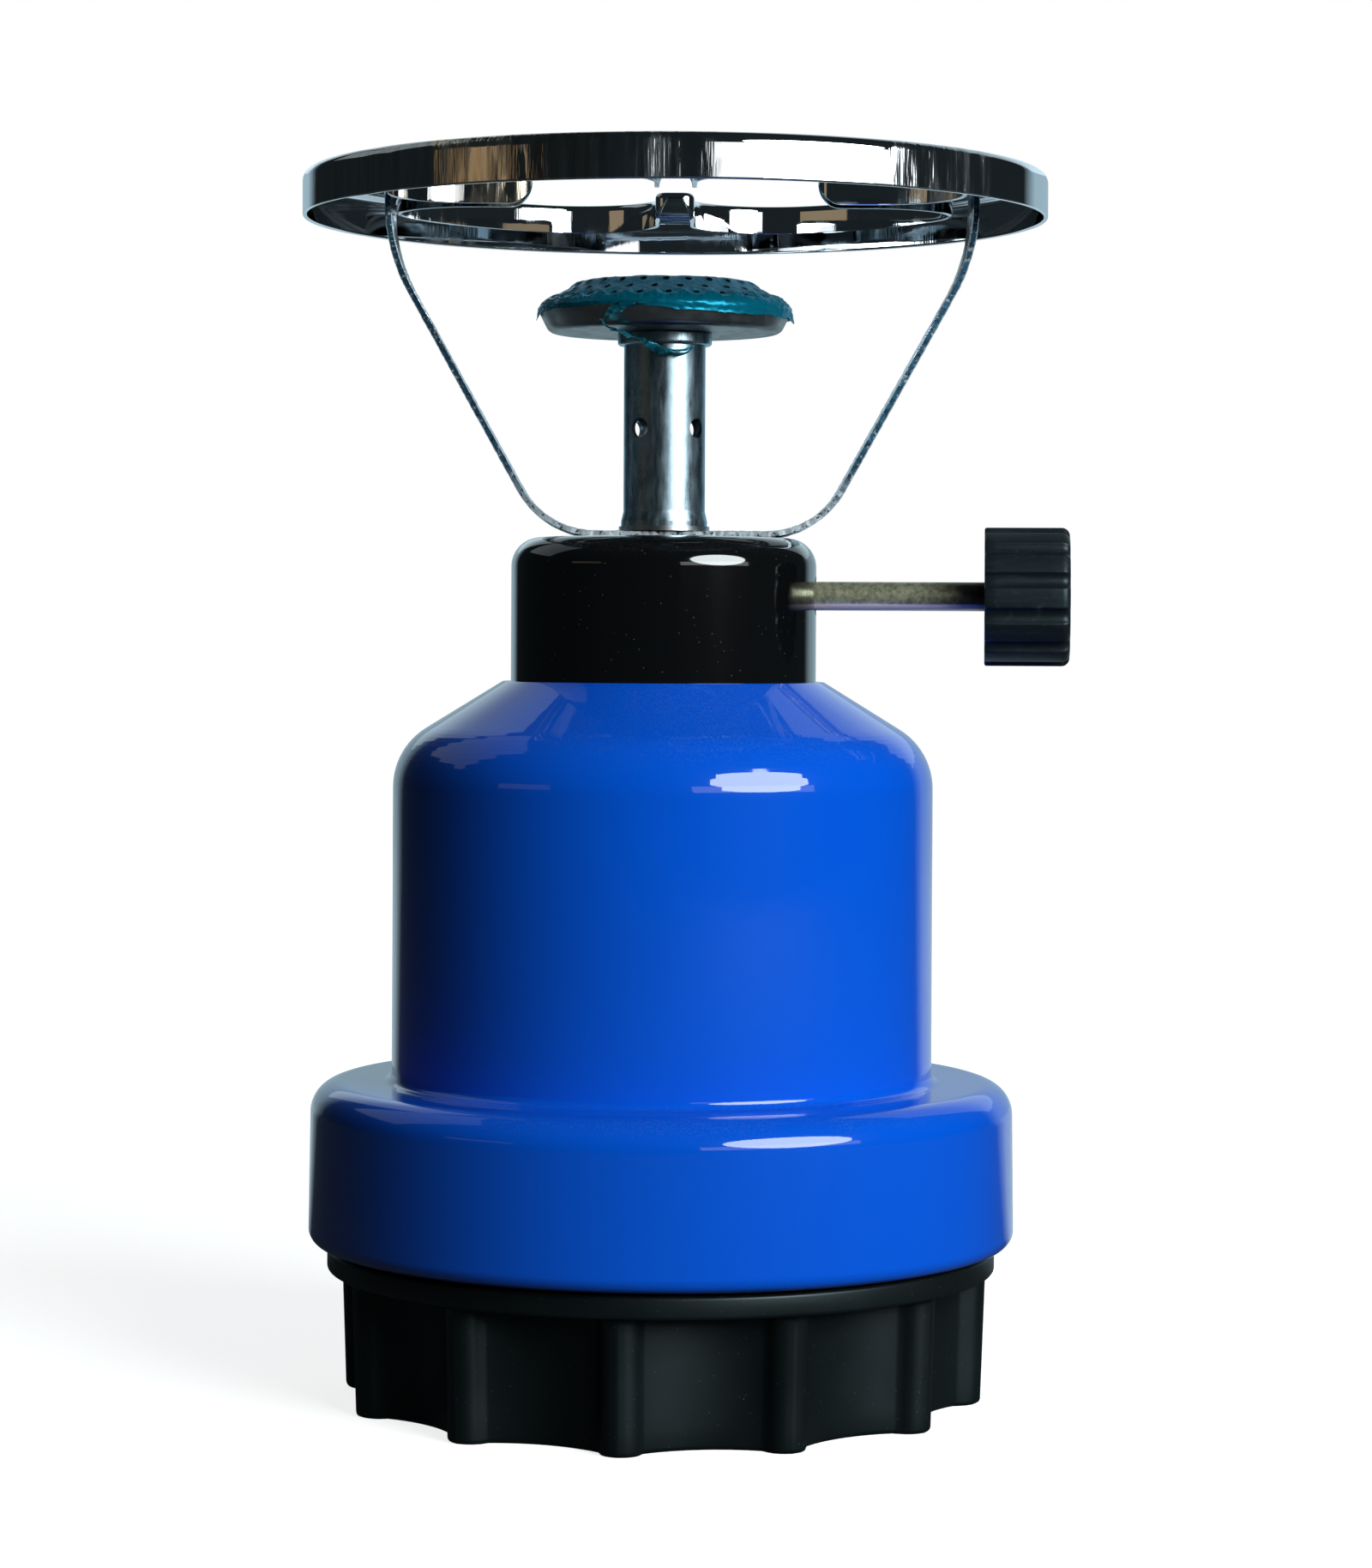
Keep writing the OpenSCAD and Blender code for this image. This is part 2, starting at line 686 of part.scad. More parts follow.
module neck_ring() {
    color("#b9bcc0") translate([0, 0, neck_ring_z]) bore_tube(neck_ring_r, tube_r, neck_ring_h);
}

module burner_cup() {
    cup_line = let (h = head_t / 2) concat(
        [[neck_r, cup_z + h]],
        arc([cup_r - cup_taper - cup_corner_r, cup_z + cup_corner_r], cup_corner_r - h, -90, -cup_lean),
        [[cup_r - h, lip_z - rim_h], [cup_r - h, lip_z]]
    );
    color("#54504c") rotate_extrude() polygon(ribbon(cup_line, head_t));
}

module head_nut() {
    color("#8d8f92") translate([0, 0, cup_z + head_t]) difference() {
        linear_extrude(head_nut_t) hexagon(head_nut_af);
        translate([0, 0, -cut]) cylinder(r = neck_r, h = head_nut_t + 2 * cut);
    }
}

// spreads the gas under the cap; its edge sits where the cup's rim begins
module head_baffle() {
    color("#8d8f92") translate([0, 0, baffle_z]) difference() {
        bore_tube(baffle_r, baffle_bore_r, baffle_t);
        for (i = [0:baffle_holes - 1])
            rotate(i * 360 / baffle_holes) translate([baffle_hole_x, 0, -cut])
                cylinder(r = baffle_hole_r, h = baffle_t + 2 * cut);
    }
}

// section of the cap, as a line from its rim to its top; out moves it outward
function cap_line(out) = [
    [cup_r + out, lip_z],
    [crown_r + out, lip_z + flank_h + out],
    [0, lip_z + flank_h + crown_h + out]
];

module cap_sheet(out, inside) {
    rotate_extrude() polygon(concat(cap_line(out), reversed(cap_line(inside))));
}

module burner_cap() {
    slope = atan2(flank_h, cup_r - crown_r);
    color("#3c3a38") difference() {
        cap_sheet(0, -head_t);
        for (row = [1:port_rows], i = [0:ports - 1])
            let (s = row / (port_rows + 1))
                rotate((i + row / 2) * 360 / ports)
                    translate([cup_r + (crown_r - cup_r) * s, 0, lip_z + flank_h * s])
                        rotate([0, 90 - slope, 0])
                            cylinder(r = port_r, h = 4 * head_t, center = true, $fn = 24);
    }
}

module cap_film() {
    color("#3fa2a0") cap_sheet(film_t, film_gap);
}

base_cup();
thrust_plate();
cartridge_pad();
thread_ring();
body_shell();
neck_bush();
valve_nut();
valve_body();
piercing_needle();
cartridge_seal();
gas_filter();
jet();
spindle_seal();
gland_nut();
spindle();
control_knob();
collar();
support_strip();
strip_washer();
burner_tube();
neck_ring();
burner_cup();
head_nut();
head_baffle();
burner_cap();
cap_film();
pan_ring();
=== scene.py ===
"""Looks of a portable gas burner: finishes, mouldings, pressings, wear and studio."""

import json
import math
import random

import bmesh
import bpy
from mathutils import Matrix, Vector, noise


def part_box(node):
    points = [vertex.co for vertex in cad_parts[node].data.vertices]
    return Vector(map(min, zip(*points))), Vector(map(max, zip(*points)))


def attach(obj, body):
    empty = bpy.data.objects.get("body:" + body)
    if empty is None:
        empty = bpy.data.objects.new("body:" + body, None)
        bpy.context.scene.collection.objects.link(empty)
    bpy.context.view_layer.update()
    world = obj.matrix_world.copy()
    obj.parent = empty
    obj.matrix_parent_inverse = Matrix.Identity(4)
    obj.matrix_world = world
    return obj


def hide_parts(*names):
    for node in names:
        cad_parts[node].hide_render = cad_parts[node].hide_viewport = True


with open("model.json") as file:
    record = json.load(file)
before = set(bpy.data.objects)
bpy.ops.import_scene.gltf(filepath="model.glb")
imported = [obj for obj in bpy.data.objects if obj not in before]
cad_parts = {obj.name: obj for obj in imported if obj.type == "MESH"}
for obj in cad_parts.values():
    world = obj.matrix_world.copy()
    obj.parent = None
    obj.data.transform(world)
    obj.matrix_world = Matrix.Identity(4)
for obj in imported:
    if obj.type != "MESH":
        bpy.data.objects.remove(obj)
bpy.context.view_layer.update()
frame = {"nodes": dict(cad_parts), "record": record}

MM = 0.001
TAU = 2 * math.pi
QUARTER = math.pi / 2

# ---- sizes from the frame, in mm


def node_box(name):
    """Lowest and highest corner of a CAD node, in mm."""
    low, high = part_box(name)
    return Vector(low) / MM, Vector(high) / MM


base_low, base_high = node_box("base_cup")
shell_low, shell_high = node_box("body_shell")
collar_low, collar_high = node_box("collar")
knob_low, knob_high = node_box("control_knob")
spindle_low, spindle_high = node_box("spindle")
tube_low, tube_high = node_box("burner_tube")
neck_low, neck_high = node_box("neck_ring")
cup_low, cup_high = node_box("burner_cup")

SPINDLE_Z = (spindle_low.z + spindle_high.z) / 2
STRIP_LOW = node_box("support_strip")[0].z
CAP_LIP = node_box("burner_cap")[0].z
FILM_LOW = node_box("cap_film")[0].z
RING_TOP = node_box("pan_ring")[1].z

# camera: its place in metres, and the focal length and centre in pixels
CAMERA_DISTANCE = 0.6995
CAMERA_HEIGHT = 0.1329
CAMERA_ROLL = 0.0047
PHOTO_W, PHOTO_H = 1600, 1828
FOCAL_PX = 4674
AXIS_PX, HORIZON_PX = 773.8, 737.2
VIEW_TURN = math.radians(4.6)   # the camera and the pan support are turned this far from the spindle

# base, as in the CAD solid
BASE_SEGMENTS = 720
LOBES = 12
LOBE_R = 56.4
LOBE_TIP_R = 3.5
FLUTE_R = 49.5
LOBE_PHASE = math.radians(-2.4)
GRIP_H = 22.6
GRIP_DRAFT = 0.8
FLANGE_TOP = 26.6
FLANGE_R = 58.0
SPIGOT_R = 54.62
BAY_R = 45.6
FLOOR_T = 3.0

# body shell
SHELL_T = 0.8
LEDGE_Z = 55.0
UPPER_R = 47.0
SHELL_TOP_R = 28.0
CONE_ANGLE = math.radians(31.7)
SHOULDER_R = 12.0

# knob
KNOB_GROOVES = 12
KNOB_GROOVE_R = 1.6
KNOB_GROOVE_DEPTH = 0.9
KNOB_PHASE = math.radians(16.5)

# pan ring and its strip
RING_T = 0.8
OUTER_RING_R = 64.8
RING_SHIFT = 1.7
RING_EDGE_R = 1.8
BAND_H = 7.7
OPENING_R = 53.0
FINGER_HALF = 3.55
FINGER_TIP_R = 25.0
FINGER_ROOT_R = 14.0
FLANGE_H = 5.2
FLANGE_RUN_OUT = 4.0
STRIP_SHIFT = 2.9
STRIP_T = 1.2
STRIP_W = 13.0
STRIP_FLAT = 14.8
STRIP_BEND_R = 15.0
STRIP_UPPER_R = 32.0
STRIP_TOP_X = 50.9
UPRIGHT_L = 1.9
TAB_BEND_R = 2.0
TAB_L = 8.0

# tube and burner head
TUBE_R = 7.1
AIR_HOLE_PHASE = 56.6
AIR_HOLE_R = 1.7
OUTLET_R = 5.5
CUP_R = 21.8
CROWN_R = 15.0
FLANK_H = 5.0
CROWN_H = 0.8
HEAD_T = 0.8
FLANK_SLOPE = math.atan2(FLANK_H, CUP_R - CROWN_R)
PORTS = 26
PORT_R = 0.55
# rows of ports: share of the way up the flank, and angle of the first port right of the camera
PORT_ROWS = ((0.32, 1.6), (0.6, -5.8), (0.88, 0.3))

# wear on the front of the band, by columns of the photograph: from, to, how much
SCRATCHED = ((505, 593, 1.0), (593, 693, 0.55), (728, 787, 0.9), (787, 829, 0.3), (1040, 1150, 0.8))
# stains there, and in the gold row a painted warm reflection: from, to, how much, colour
STAINS_AND_PAINTED_REFLECTION = ((366, 505, 0.75, (0.34, 0.31, 0.27)), (505, 593, 0.7, (0.95, 0.72, 0.4)),
           (593, 700, 0.8, (0.34, 0.22, 0.12)), (700, 829, 0.5, (0.3, 0.3, 0.31)))

# the film's loose strip and thread, by pixels of the photograph: those on the side of the cup, and
# those that hang free, each with its mm in front of the axis
STRIP_ON_CUP_PX = ((752, 353), (735, 355), (718, 359), (706, 365), (701, 372), (704, 379), (712, 384))
STRIP_FREE_PX = ((724, 388, 18.5), (738, 392, 14), (750, 398, 10.8), (762, 405, 9.3), (776, 411, 8.9),
                 (790, 413, 8.6), (801, 410, 8.4), (806, 404, 8.6))
THREAD_PX = ((770, 404, 9.0), (780, 408, 9.1), (790, 408.5, 8.9), (799, 407, 8.7), (808, 402, 8.3))


def band_x(column):
    """X in mm, in the object's frame, of a column of the photograph on the band's front."""
    depth = OUTER_RING_R
    for _ in range(4):   # the column's place and its depth settle each other
        across = (column - AXIS_PX) * (CAMERA_DISTANCE / MM - depth) / FOCAL_PX
        depth = math.sqrt(OUTER_RING_R ** 2 - (across - RING_SHIFT) ** 2)
    return across * math.cos(VIEW_TURN) + depth * math.sin(VIEW_TURN)


def photo_place(x, y, depth):
    """Place in mm, in the object's frame, of what a pixel shows this far in front of the axis."""
    scale = FOCAL_PX / (CAMERA_DISTANCE / MM) / (1 - depth * MM / CAMERA_DISTANCE)
    across, up = (x - AXIS_PX) / scale, CAMERA_HEIGHT / MM + (HORIZON_PX - y) / scale
    return Matrix.Rotation(VIEW_TURN, 3, "Z") @ Vector((across, -depth, up))


def on_cup(x, y, clear=0.55):
    """The same, for a point that lies on the side of the burner's cup."""
    r = CUP_R + clear
    across = (x - AXIS_PX) * CAMERA_DISTANCE / MM / FOCAL_PX
    return photo_place(x, y, math.sqrt(r * r - across * across))


# ---- curves


def clamp(value):
    """The value, held between 0 and 1."""
    return min(max(value, 0), 1)


def ease(share):
    """A share held between 0 and 1, with a soft start and end."""
    share = clamp(share)
    return share * share * (3 - 2 * share)


def soft_min(a, b, soft):
    """The smaller value, with a soft bend where the two are less than soft apart."""
    near = max(soft - abs(a - b), 0) / soft
    return min(a, b) - near * near * soft / 4


def round_noise(angle, scale, z):
    """Noise along a circle, which closes on itself."""
    return noise.noise(Vector((math.cos(angle) * scale, math.sin(angle) * scale, z)))


def loop_about(radius_at, z, segments):
    """Points of a level loop about the axis, whose radius is a function of the angle."""
    points = []
    for j in range(segments):
        a = TAU * j / segments
        r = radius_at(a)
        points.append((r * math.cos(a), r * math.sin(a), z))
    return points


def circle(r, z, segments):
    return loop_about(lambda a: r, z, segments)


def about_spindle(loop):
    """A level loop, tipped over to stand about the spindle's axis."""
    return [(x, y, SPINDLE_Z + up) for y, up, x in loop]


def arc_points(cx, cy, r, a0, a1, steps):
    """Points of an arc about (cx, cy), from one angle to another."""
    angles = [a0 + (a1 - a0) * s / steps for s in range(steps + 1)]
    return [(cx + r * math.cos(a), cy + r * math.sin(a)) for a in angles]


def braced(line, closed, gap=0.2):
    """The line with a point close to both ends of each long stretch, which keeps its shading flat."""
    out = []
    last = len(line) if closed else len(line) - 1
    for i in range(last):
        a, b = Vector(line[i]), Vector(line[(i + 1) % len(line)])
        out.append(tuple(a))
        length = (b - a).length
        if length > 4 * gap:
            out += [tuple(a.lerp(b, gap / length)), tuple(b.lerp(a, gap / length))]
    return out if closed else out + [tuple(line[-1])]


def fillet(points, radii, steps):
    """A line of 2D points whose corners are rounded by the given radii."""
    out = []
    last = len(points) - 1
    for i, (p, r) in enumerate(zip(points, radii)):
        p = Vector(p)
        if i in (0, last) or r <= 0:
            out.append(tuple(p))
            continue
        before = (Vector(points[i - 1]) - p).normalized()
        after = (Vector(points[i + 1]) - p).normalized()
        half = before.angle(after) / 2
        reach = r / math.tan(half)
        centre = p + (before + after).normalized() * (r / math.sin(half))
        start, end = p + before * reach - centre, p + after * reach - centre
        turn = math.atan2(start.x * end.y - start.y * end.x, start.dot(end))
        for s in range(steps + 1):
            c, n = math.cos(turn * s / steps), math.sin(turn * s / steps)
            out.append((centre.x + start.x * c - start.y * n, centre.y + start.x * n + start.y * c))
    return out


def ahead_at(line, i):
    """Direction of a line of vectors at one of its points."""
    return (line[min(i + 1, len(line) - 1)] - line[max(i - 1, 0)]).normalized()


def left_at(line, i):
    """Direction to the left of a flat line at one of its points."""
    ahead = ahead_at(line, i)
    return Vector((-ahead.y, ahead.x))


def thicken(line, thickness):
    """A closed profile: a line of (r, z), and the same line moved by thickness to its left."""
    line = [Vector(p) for p in line]
    moved = [p + left_at(line, i) * thickness for i, p in enumerate(line)]
    return [tuple(p) for p in line + moved[::-1]]


def smooth_line(points, steps):
    """A Catmull-Rom line through the points."""
    out = []
    last = len(points) - 1
    for i in range(last):
        p0, p1, p2, p3 = points[max(i - 1, 0)], points[i], points[i + 1], points[min(i + 2, last)]
        for s in range(steps):
            t = s / steps
            out.append(0.5 * (2 * p1 + (p2 - p0) * t + (2 * p0 - 5 * p1 + 4 * p2 - p3) * t * t
                              + (3 * p1 - p0 - 3 * p2 + p3) * t ** 3))
    return out + [points[last]]


def even_line(points, step):
    """The same line with points about a step apart."""
    out = [points[0]]
    for a, b in zip(points, points[1:]):
        count = max(1, round((b - a).length / step))
        out += [a.lerp(b, s / count) for s in range(1, count + 1)]
    return out


# ---- mesh tools


def link(name, data):
    """A new object in the scene."""
    thing = bpy.data.objects.new(name, data)
    bpy.context.scene.collection.objects.link(thing)
    return thing


def new_object(name, mesh, body, slot, replaced=(), finish=None):
    """Links a mesh as a piece that rides on a body and stands for CAD nodes."""
    piece = link(name, mesh)
    mesh.materials.append(MATERIALS[finish or slot])
    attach(piece, body)
    if replaced:
        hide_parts(*replaced)
    return piece


def skin(work, loops):
    """Faces between each loop of vertices and the next."""
    for a, b in zip(loops, loops[1:]):
        for j in range(len(a)):
            k = (j + 1) % len(a)
            work.faces.new((a[j], a[k], b[k], b[j]))


def finished(name, work, sharp_angle=35):
    """The mesh of a bmesh: outward normals, and smooth shading with sharp corners kept."""
    bmesh.ops.remove_doubles(work, verts=work.verts, dist=1e-7)
    work.normal_update()
    bmesh.ops.recalc_face_normals(work, faces=work.faces)
    mesh = bpy.data.meshes.new(name)
    work.to_mesh(mesh)
    work.free()
    mesh.polygons.foreach_set("use_smooth", [True] * len(mesh.polygons))
    mesh.set_sharp_from_angle(angle=math.radians(sharp_angle))
    mesh.update()
    return mesh


def grid_mesh(name, rings, ends="joined", sharp_angle=35):
    """A mesh of quads through closed rings of points in mm, with its ends joined, open or capped."""
    work = bmesh.new()
    loops = [[work.verts.new(Vector(p) * MM) for p in ring] for ring in rings]
    skin(work, loops + loops[:1] if ends == "joined" else loops)
    if ends == "capped":
        work.faces.new(loops[0][::-1])
        work.faces.new(loops[-1])
    return finished(name, work, sharp_angle)


def turned(name, node, slot, profile, segments):
    """A piece of the stove: a closed profile of (r, z) in mm, turned about the axis."""
    rings = [circle(r, z, segments) for r, z in braced(profile, True)]
    return new_object(name, grid_mesh(node + "_body", rings), "stove", slot, [node])


def level_rod(angle, start, end, radius, z, segments):
    """A cutter: a level rod that runs through the axis at an angle, from start to end."""
    c, n = math.cos(angle), math.sin(angle)
    section = circle(radius, z, segments)
    rings = [[(d * c - x * n, d * n + x * c, z + y) for x, y, _ in section] for d in (start, end)]
    return grid_mesh("cutter", rings, "capped")


def cut_holes(piece, cutter_mesh):
    """Cuts a mesh out of a piece and drops it."""
    cutter = link("cutter", cutter_mesh)
    modifier = piece.modifiers.new("cut", "BOOLEAN")
    modifier.object = cutter
    modifier.solver = "EXACT"
    bpy.context.view_layer.update()
    graph = bpy.context.evaluated_depsgraph_get()
    result = bpy.data.meshes.new_from_object(piece.evaluated_get(graph))
    piece.modifiers.clear()
    old = piece.data
    piece.data = result
    bpy.data.meshes.remove(old)
    bpy.data.objects.remove(cutter)
    piece.data.set_sharp_from_angle(angle=math.radians(35))


# ---- material tools


class Nodes:
    """A node tree, with short ways to add nodes to it."""

    def __init__(self, tree):
        self.tree = tree

    def plug(self, socket, value):
        """Links an output to a socket, or sets the socket to a plain value."""
        if isinstance(value, bpy.types.NodeSocket):
            self.tree.links.new(value, socket)
        else:
            socket.default_value = value

    def node(self, kind, inputs=None, **settings):
        """Outputs of a new node with its settings and inputs filled in."""
        node = self.tree.nodes.new("ShaderNode" + kind)
        for name, value in settings.items():
            setattr(node, name, value)
        for key, value in (inputs or {}).items():
            self.plug(node.inputs[key], value)
        return node.outputs

    def ramp(self, value, low, high, out_low=0.0, out_high=1.0):
        """Maps low to out_low and high to out_high, evenly between them and held beyond."""
        inputs = {"Value": value, "From Min": low, "From Max": high, "To Min": out_low, "To Max": out_high}
        return self.node("MapRange", inputs)["Result"]

    def math(self, operation, a, b=0.0):
        return self.node("Math", {0: a, 1: b}, operation=operation)["Value"]

    def times(self, *values):
        """The product of outputs and plain numbers."""
        product = values[0]
        for value in values[1:]:
            product = self.math("MULTIPLY", product, value)
        return product

    def part(self, vector, axis):
        """X, Y or Z of a vector."""
        return self.node("SeparateXYZ", {"Vector": vector})[axis]

    def mix(self, kind, a, b, mask):
        """The value a where the mask is 0, and b where it is 1."""
        return self.node("Mix", {"A": a, "B": b, "Factor": mask}, data_type=kind)["Result"]


class Paint(Nodes):
    """A Principled material that is built up node by node."""

    def __init__(self, name, color, roughness, metallic=0.0, **sockets):
        self.material = bpy.data.materials.new(name)
        self.material.use_nodes = True
        super().__init__(self.material.node_tree)
        self.shader = self.tree.nodes["Principled BSDF"]
        self.fed = {}
        self.feed("Base Color", (*color, 1))
        self.feed("Roughness", roughness)
        self.feed("Metallic", metallic)
        for key, value in sockets.items():
            self.feed(key.replace("_", " "), value)
        self.coords = self.node("TexCoord")["Object"]

    def feed(self, socket, value):
        """Gives a socket of the shader a value or an output, and remembers it."""
        self.fed[socket] = value
        self.plug(self.shader.inputs[socket], value)

    def stretched(self, scale):
        """Object coordinates multiplied along X, Y and Z."""
        return self.node("Mapping", {"Vector": self.coords, "Scale": scale})["Vector"]

    def noise(self, scale, detail=3.0, roughness=0.5, vector=None):
        inputs = {"Vector": vector or self.coords, "Scale": scale, "Detail": detail, "Roughness": roughness}
        return self.node("TexNoise", inputs)["Fac"]

    def specks(self, scale, size):
        """Small scattered dots: 1 inside a dot, 0 outside."""
        dots = self.node("TexVoronoi", {"Vector": self.coords, "Scale": scale})
        return self.ramp(dots["Distance"], size * 0.6, size, 1.0, 0.0)

    def normal(self, axis):
        """How far the surface faces along an axis, from -1 to 1."""
        return self.part(self.node("NewGeometry")["Normal"], axis)

    def along(self, axis, low, high):
        """0 to 1 along an axis, between two places in mm."""
        return self.ramp(self.part(self.coords, axis), low * MM, high * MM)

    def window(self, axis, centre, half, soft):
        """1 within half of a place in mm along an axis, and 0 further than soft beyond it."""
        off = self.math("ABSOLUTE", self.math("SUBTRACT", self.part(self.coords, axis), centre * MM))
        return self.ramp(off, half * MM, (half + soft) * MM, 1.0, 0.0)

    def tint(self, mask, color):
        """Mixes a colour over the present one where the mask is 1."""
        self.feed("Base Color", self.mix("RGBA", self.fed["Base Color"], (*color, 1), mask))

    def mottle(self, color, amount, scale, detail, low, high, roughness=0.5):
        """Tints the patches of a noise: not below low, and by amount above high."""
        self.tint(self.ramp(self.noise(scale, detail, roughness), low, high, 0.0, amount), color)

    def gloss(self, mask, roughness):
        """Mixes a roughness over the present one where the mask is 1."""
        self.feed("Roughness", self.mix("FLOAT", self.fed["Roughness"], roughness, mask))

    def unplate(self, mask):
        """Takes the metal look away where the mask is 1."""
        self.feed("Metallic", self.ramp(mask, 0, 1, self.fed["Metallic"], 0))

    def bump(self, height, distance, strength=1.0, coat=False):
        """Adds a bump of the given height in mm."""
        inputs = {"Height": height, "Distance": distance * MM, "Strength": strength}
        bumped = self.node("Bump", inputs)["Normal"]
        self.feed("Normal", bumped)
        if coat:
            self.feed("Coat Normal", bumped)

    def dust(self, amount, color):
        """Settled dust on what faces up."""
        patches = self.ramp(self.noise(55, 5, 0.65), 0.35, 0.7, 0.25, 1.0)
        grains = self.ramp(self.noise(3200, 2, 0.6), 0.5, 0.66)
        settled = self.times(self.ramp(self.normal("Z"), 0.3, 1.0), patches, grains)
        self.tint(self.times(settled, amount), color)
        self.gloss(self.times(settled, min(1.0, amount * 1.2)), 0.7)


COOL = (0.75, 0.95, 1.0, 1)   # the colour of a black plastic's sheen


def blue_enamel():
    paint = Paint("blue_enamel", (0.0004, 0.105, 0.75), 0.3, Coat_Weight=1.0, Coat_Roughness=0.03,
                  Coat_IOR=1.6, Specular_IOR_Level=0.03)
    paint.mottle((0.0003, 0.093, 0.68), 0.3, 26, 4, 0.35, 0.7)
    paint.tint(paint.specks(900, 0.05), (0.06, 0.2, 0.75))
    paint.bump(paint.noise(240, 2), 0.008, coat=True)
    paint.dust(0.2, (0.25, 0.3, 0.36))
    return paint


def collar_plastic():
    paint = Paint("collar_plastic", (0.0035, 0.0038, 0.0042), 0.07, Coat_Weight=1.0, Coat_Roughness=0.03,
                  Coat_IOR=1.55)
    paint.tint(paint.specks(700, 0.08), (0.1, 0.105, 0.11))
    paint.bump(paint.noise(200, 2), 0.008, coat=True)
    paint.dust(0.22, (0.2, 0.2, 0.21))
    return paint


def black_plastic():
    paint = Paint("black_plastic", (0.0032, 0.0055, 0.0062), 0.36, Specular_IOR_Level=0.45,
                  Specular_Tint=COOL)
    paint.mottle((0.007, 0.011, 0.0125), 0.5, 45, 5, 0.4, 0.8, 0.6)
    paint.tint(paint.specks(800, 0.07), (0.1, 0.105, 0.11))
    paint.gloss(paint.ramp(paint.noise(60, 4), 0.35, 0.7), 0.46)
    paint.bump(paint.noise(900, 3), 0.012, 0.6)
    paint.dust(0.4, (0.1, 0.11, 0.12))
    return paint


def knob_plastic():
    paint = Paint("knob_plastic", (0.007, 0.0115, 0.014), 0.42, Specular_IOR_Level=0.4,
                  Specular_Tint=COOL)
    along = paint.noise(700, 4, 0.65, paint.stretched((0.12, 1, 1)))
    paint.tint(paint.ramp(along, 0.5, 0.78, 0.0, 0.5), (0.035, 0.046, 0.054))
    paint.mottle((0.065, 0.08, 0.09), 0.6, 420, 5, 0.58, 0.76, 0.7)
    paint.bump(paint.noise(1100, 3), 0.03, 0.7)
    return paint


def chrome():
    """Bright plating. The front of the band is stained, carries a painted warm reflection in a gold patch,
    and is rubbed bright in upright scratches.
    """
    paint = Paint("chrome", (0.84, 0.87, 0.9), 0.025, metallic=1.0)
    streaks = paint.noise(1900, 2, 0.7, paint.stretched((1, 1, 0.035)))
    patchy = paint.ramp(paint.noise(420, 3, 0.6, paint.stretched((1, 1, 0.12))), 0.38, 0.62, 0.1, 1.0)
    broken = paint.ramp(paint.noise(800, 4, 0.6, paint.stretched((1, 1, 0.07))), 0.3, 0.7, 0.3, 1.0)
    front = paint.along("Y", 5, -5)

    def columns(left, right, soft):
        """1 on the front of the band, between two columns of the photograph."""
        low, high = band_x(left), band_x(right)
        return paint.times(paint.window("X", (low + high) / 2, (high - low) / 2, soft), front)

    worn = paint.times(paint.window("X", -44, 3, 2), paint.along("Y", 0, 20), 0.35)
    for left, right, amount in SCRATCHED:
        worn = paint.math("MAXIMUM", worn, paint.times(columns(left, right, 0.8), amount))
    worn = paint.times(worn, patchy)
    # stains, and the gold row's painted warm reflection
    for left, right, amount, color in STAINS_AND_PAINTED_REFLECTION:
        paint.tint(paint.times(columns(left, right, 1.0), broken, amount), color)
    fine = paint.ramp(paint.noise(90, 3), 0.5, 0.7, 0.01, 0.16)
    paint.bump(paint.times(streaks, paint.math("MAXIMUM", worn, fine)), 0.13)
    paint.gloss(paint.ramp(paint.noise(260, 4), 0.5, 0.8), 0.09)
    paint.gloss(worn, 0.3)
    return paint


def tube_steel():
    paint = Paint("tube_steel", (0.46, 0.6, 0.68), 0.24, metallic=1.0, Specular_Tint=(0.7, 0.88, 0.95, 1))
    grain = paint.noise(900, 3, 0.6, paint.stretched((1, 1, 0.16)))
    paint.mottle((0.2, 0.26, 0.3), 0.7, 330, 4, 0.35, 0.75, 0.6)
    paint.gloss(paint.ramp(grain, 0.35, 0.65), 0.4)
    paint.bump(grain, 0.02)
    return paint


def strip_steel():
    """Zinc-plated strip: dark blue-grey sheared edges with bright nicks, brighter along the foot."""
    paint = Paint("strip_steel", (0.62, 0.7, 0.75), 0.24, metallic=1.0)
    nicks = paint.ramp(paint.noise(1100, 3, 0.7), 0.56, 0.66)
    sheared = paint.ramp(paint.math("ABSOLUTE", paint.normal("Y")), 0.55, 0.85)
    legs = paint.along("Z", STRIP_LOW + 3, STRIP_LOW + 12)
    foot_dark = paint.ramp(paint.noise(900, 3, 0.7), 0.36, 0.46, 1.0, 0.0)
    paint.mottle((0.3, 0.36, 0.4), 0.5, 420, 3, 0.45, 0.75)
    paint.tint(paint.times(sheared, legs), (0.03, 0.1, 0.17))
    paint.tint(paint.times(sheared, nicks), (0.6, 0.68, 0.72))
    paint.tint(paint.times(sheared, foot_dark), (0.02, 0.035, 0.045))
    paint.gloss(sheared, 0.42)
    paint.unplate(paint.times(sheared, 0.3))
    paint.bump(paint.noise(1500, 3), 0.05)
    return paint


def zinc_steel():
    paint = Paint("zinc_steel", (0.62, 0.64, 0.66), 0.3, metallic=1.0)
    paint.mottle((0.4, 0.42, 0.44), 0.5, 300, 4, 0.4, 0.7)
    paint.bump(paint.noise(900, 3), 0.02, 0.6)
    return paint


def dark_steel():
    """Dark satin steel, with painted shade that darkens the undersides."""
    paint = Paint("dark_steel", (0.44, 0.455, 0.45), 0.3, metallic=1.0)
    paint.mottle((0.25, 0.24, 0.22), 0.6, 240, 5, 0.4, 0.75, 0.6)
    # painted shade: what faces down is tinted dark
    paint.tint(paint.ramp(paint.normal("Z"), -0.3, -0.9), (0.06, 0.09, 0.1))
    paint.gloss(paint.ramp(paint.noise(500, 3), 0.4, 0.7), 0.42)
    paint.bump(paint.noise(900, 3, 0.6), 0.016, 0.7)
    return paint


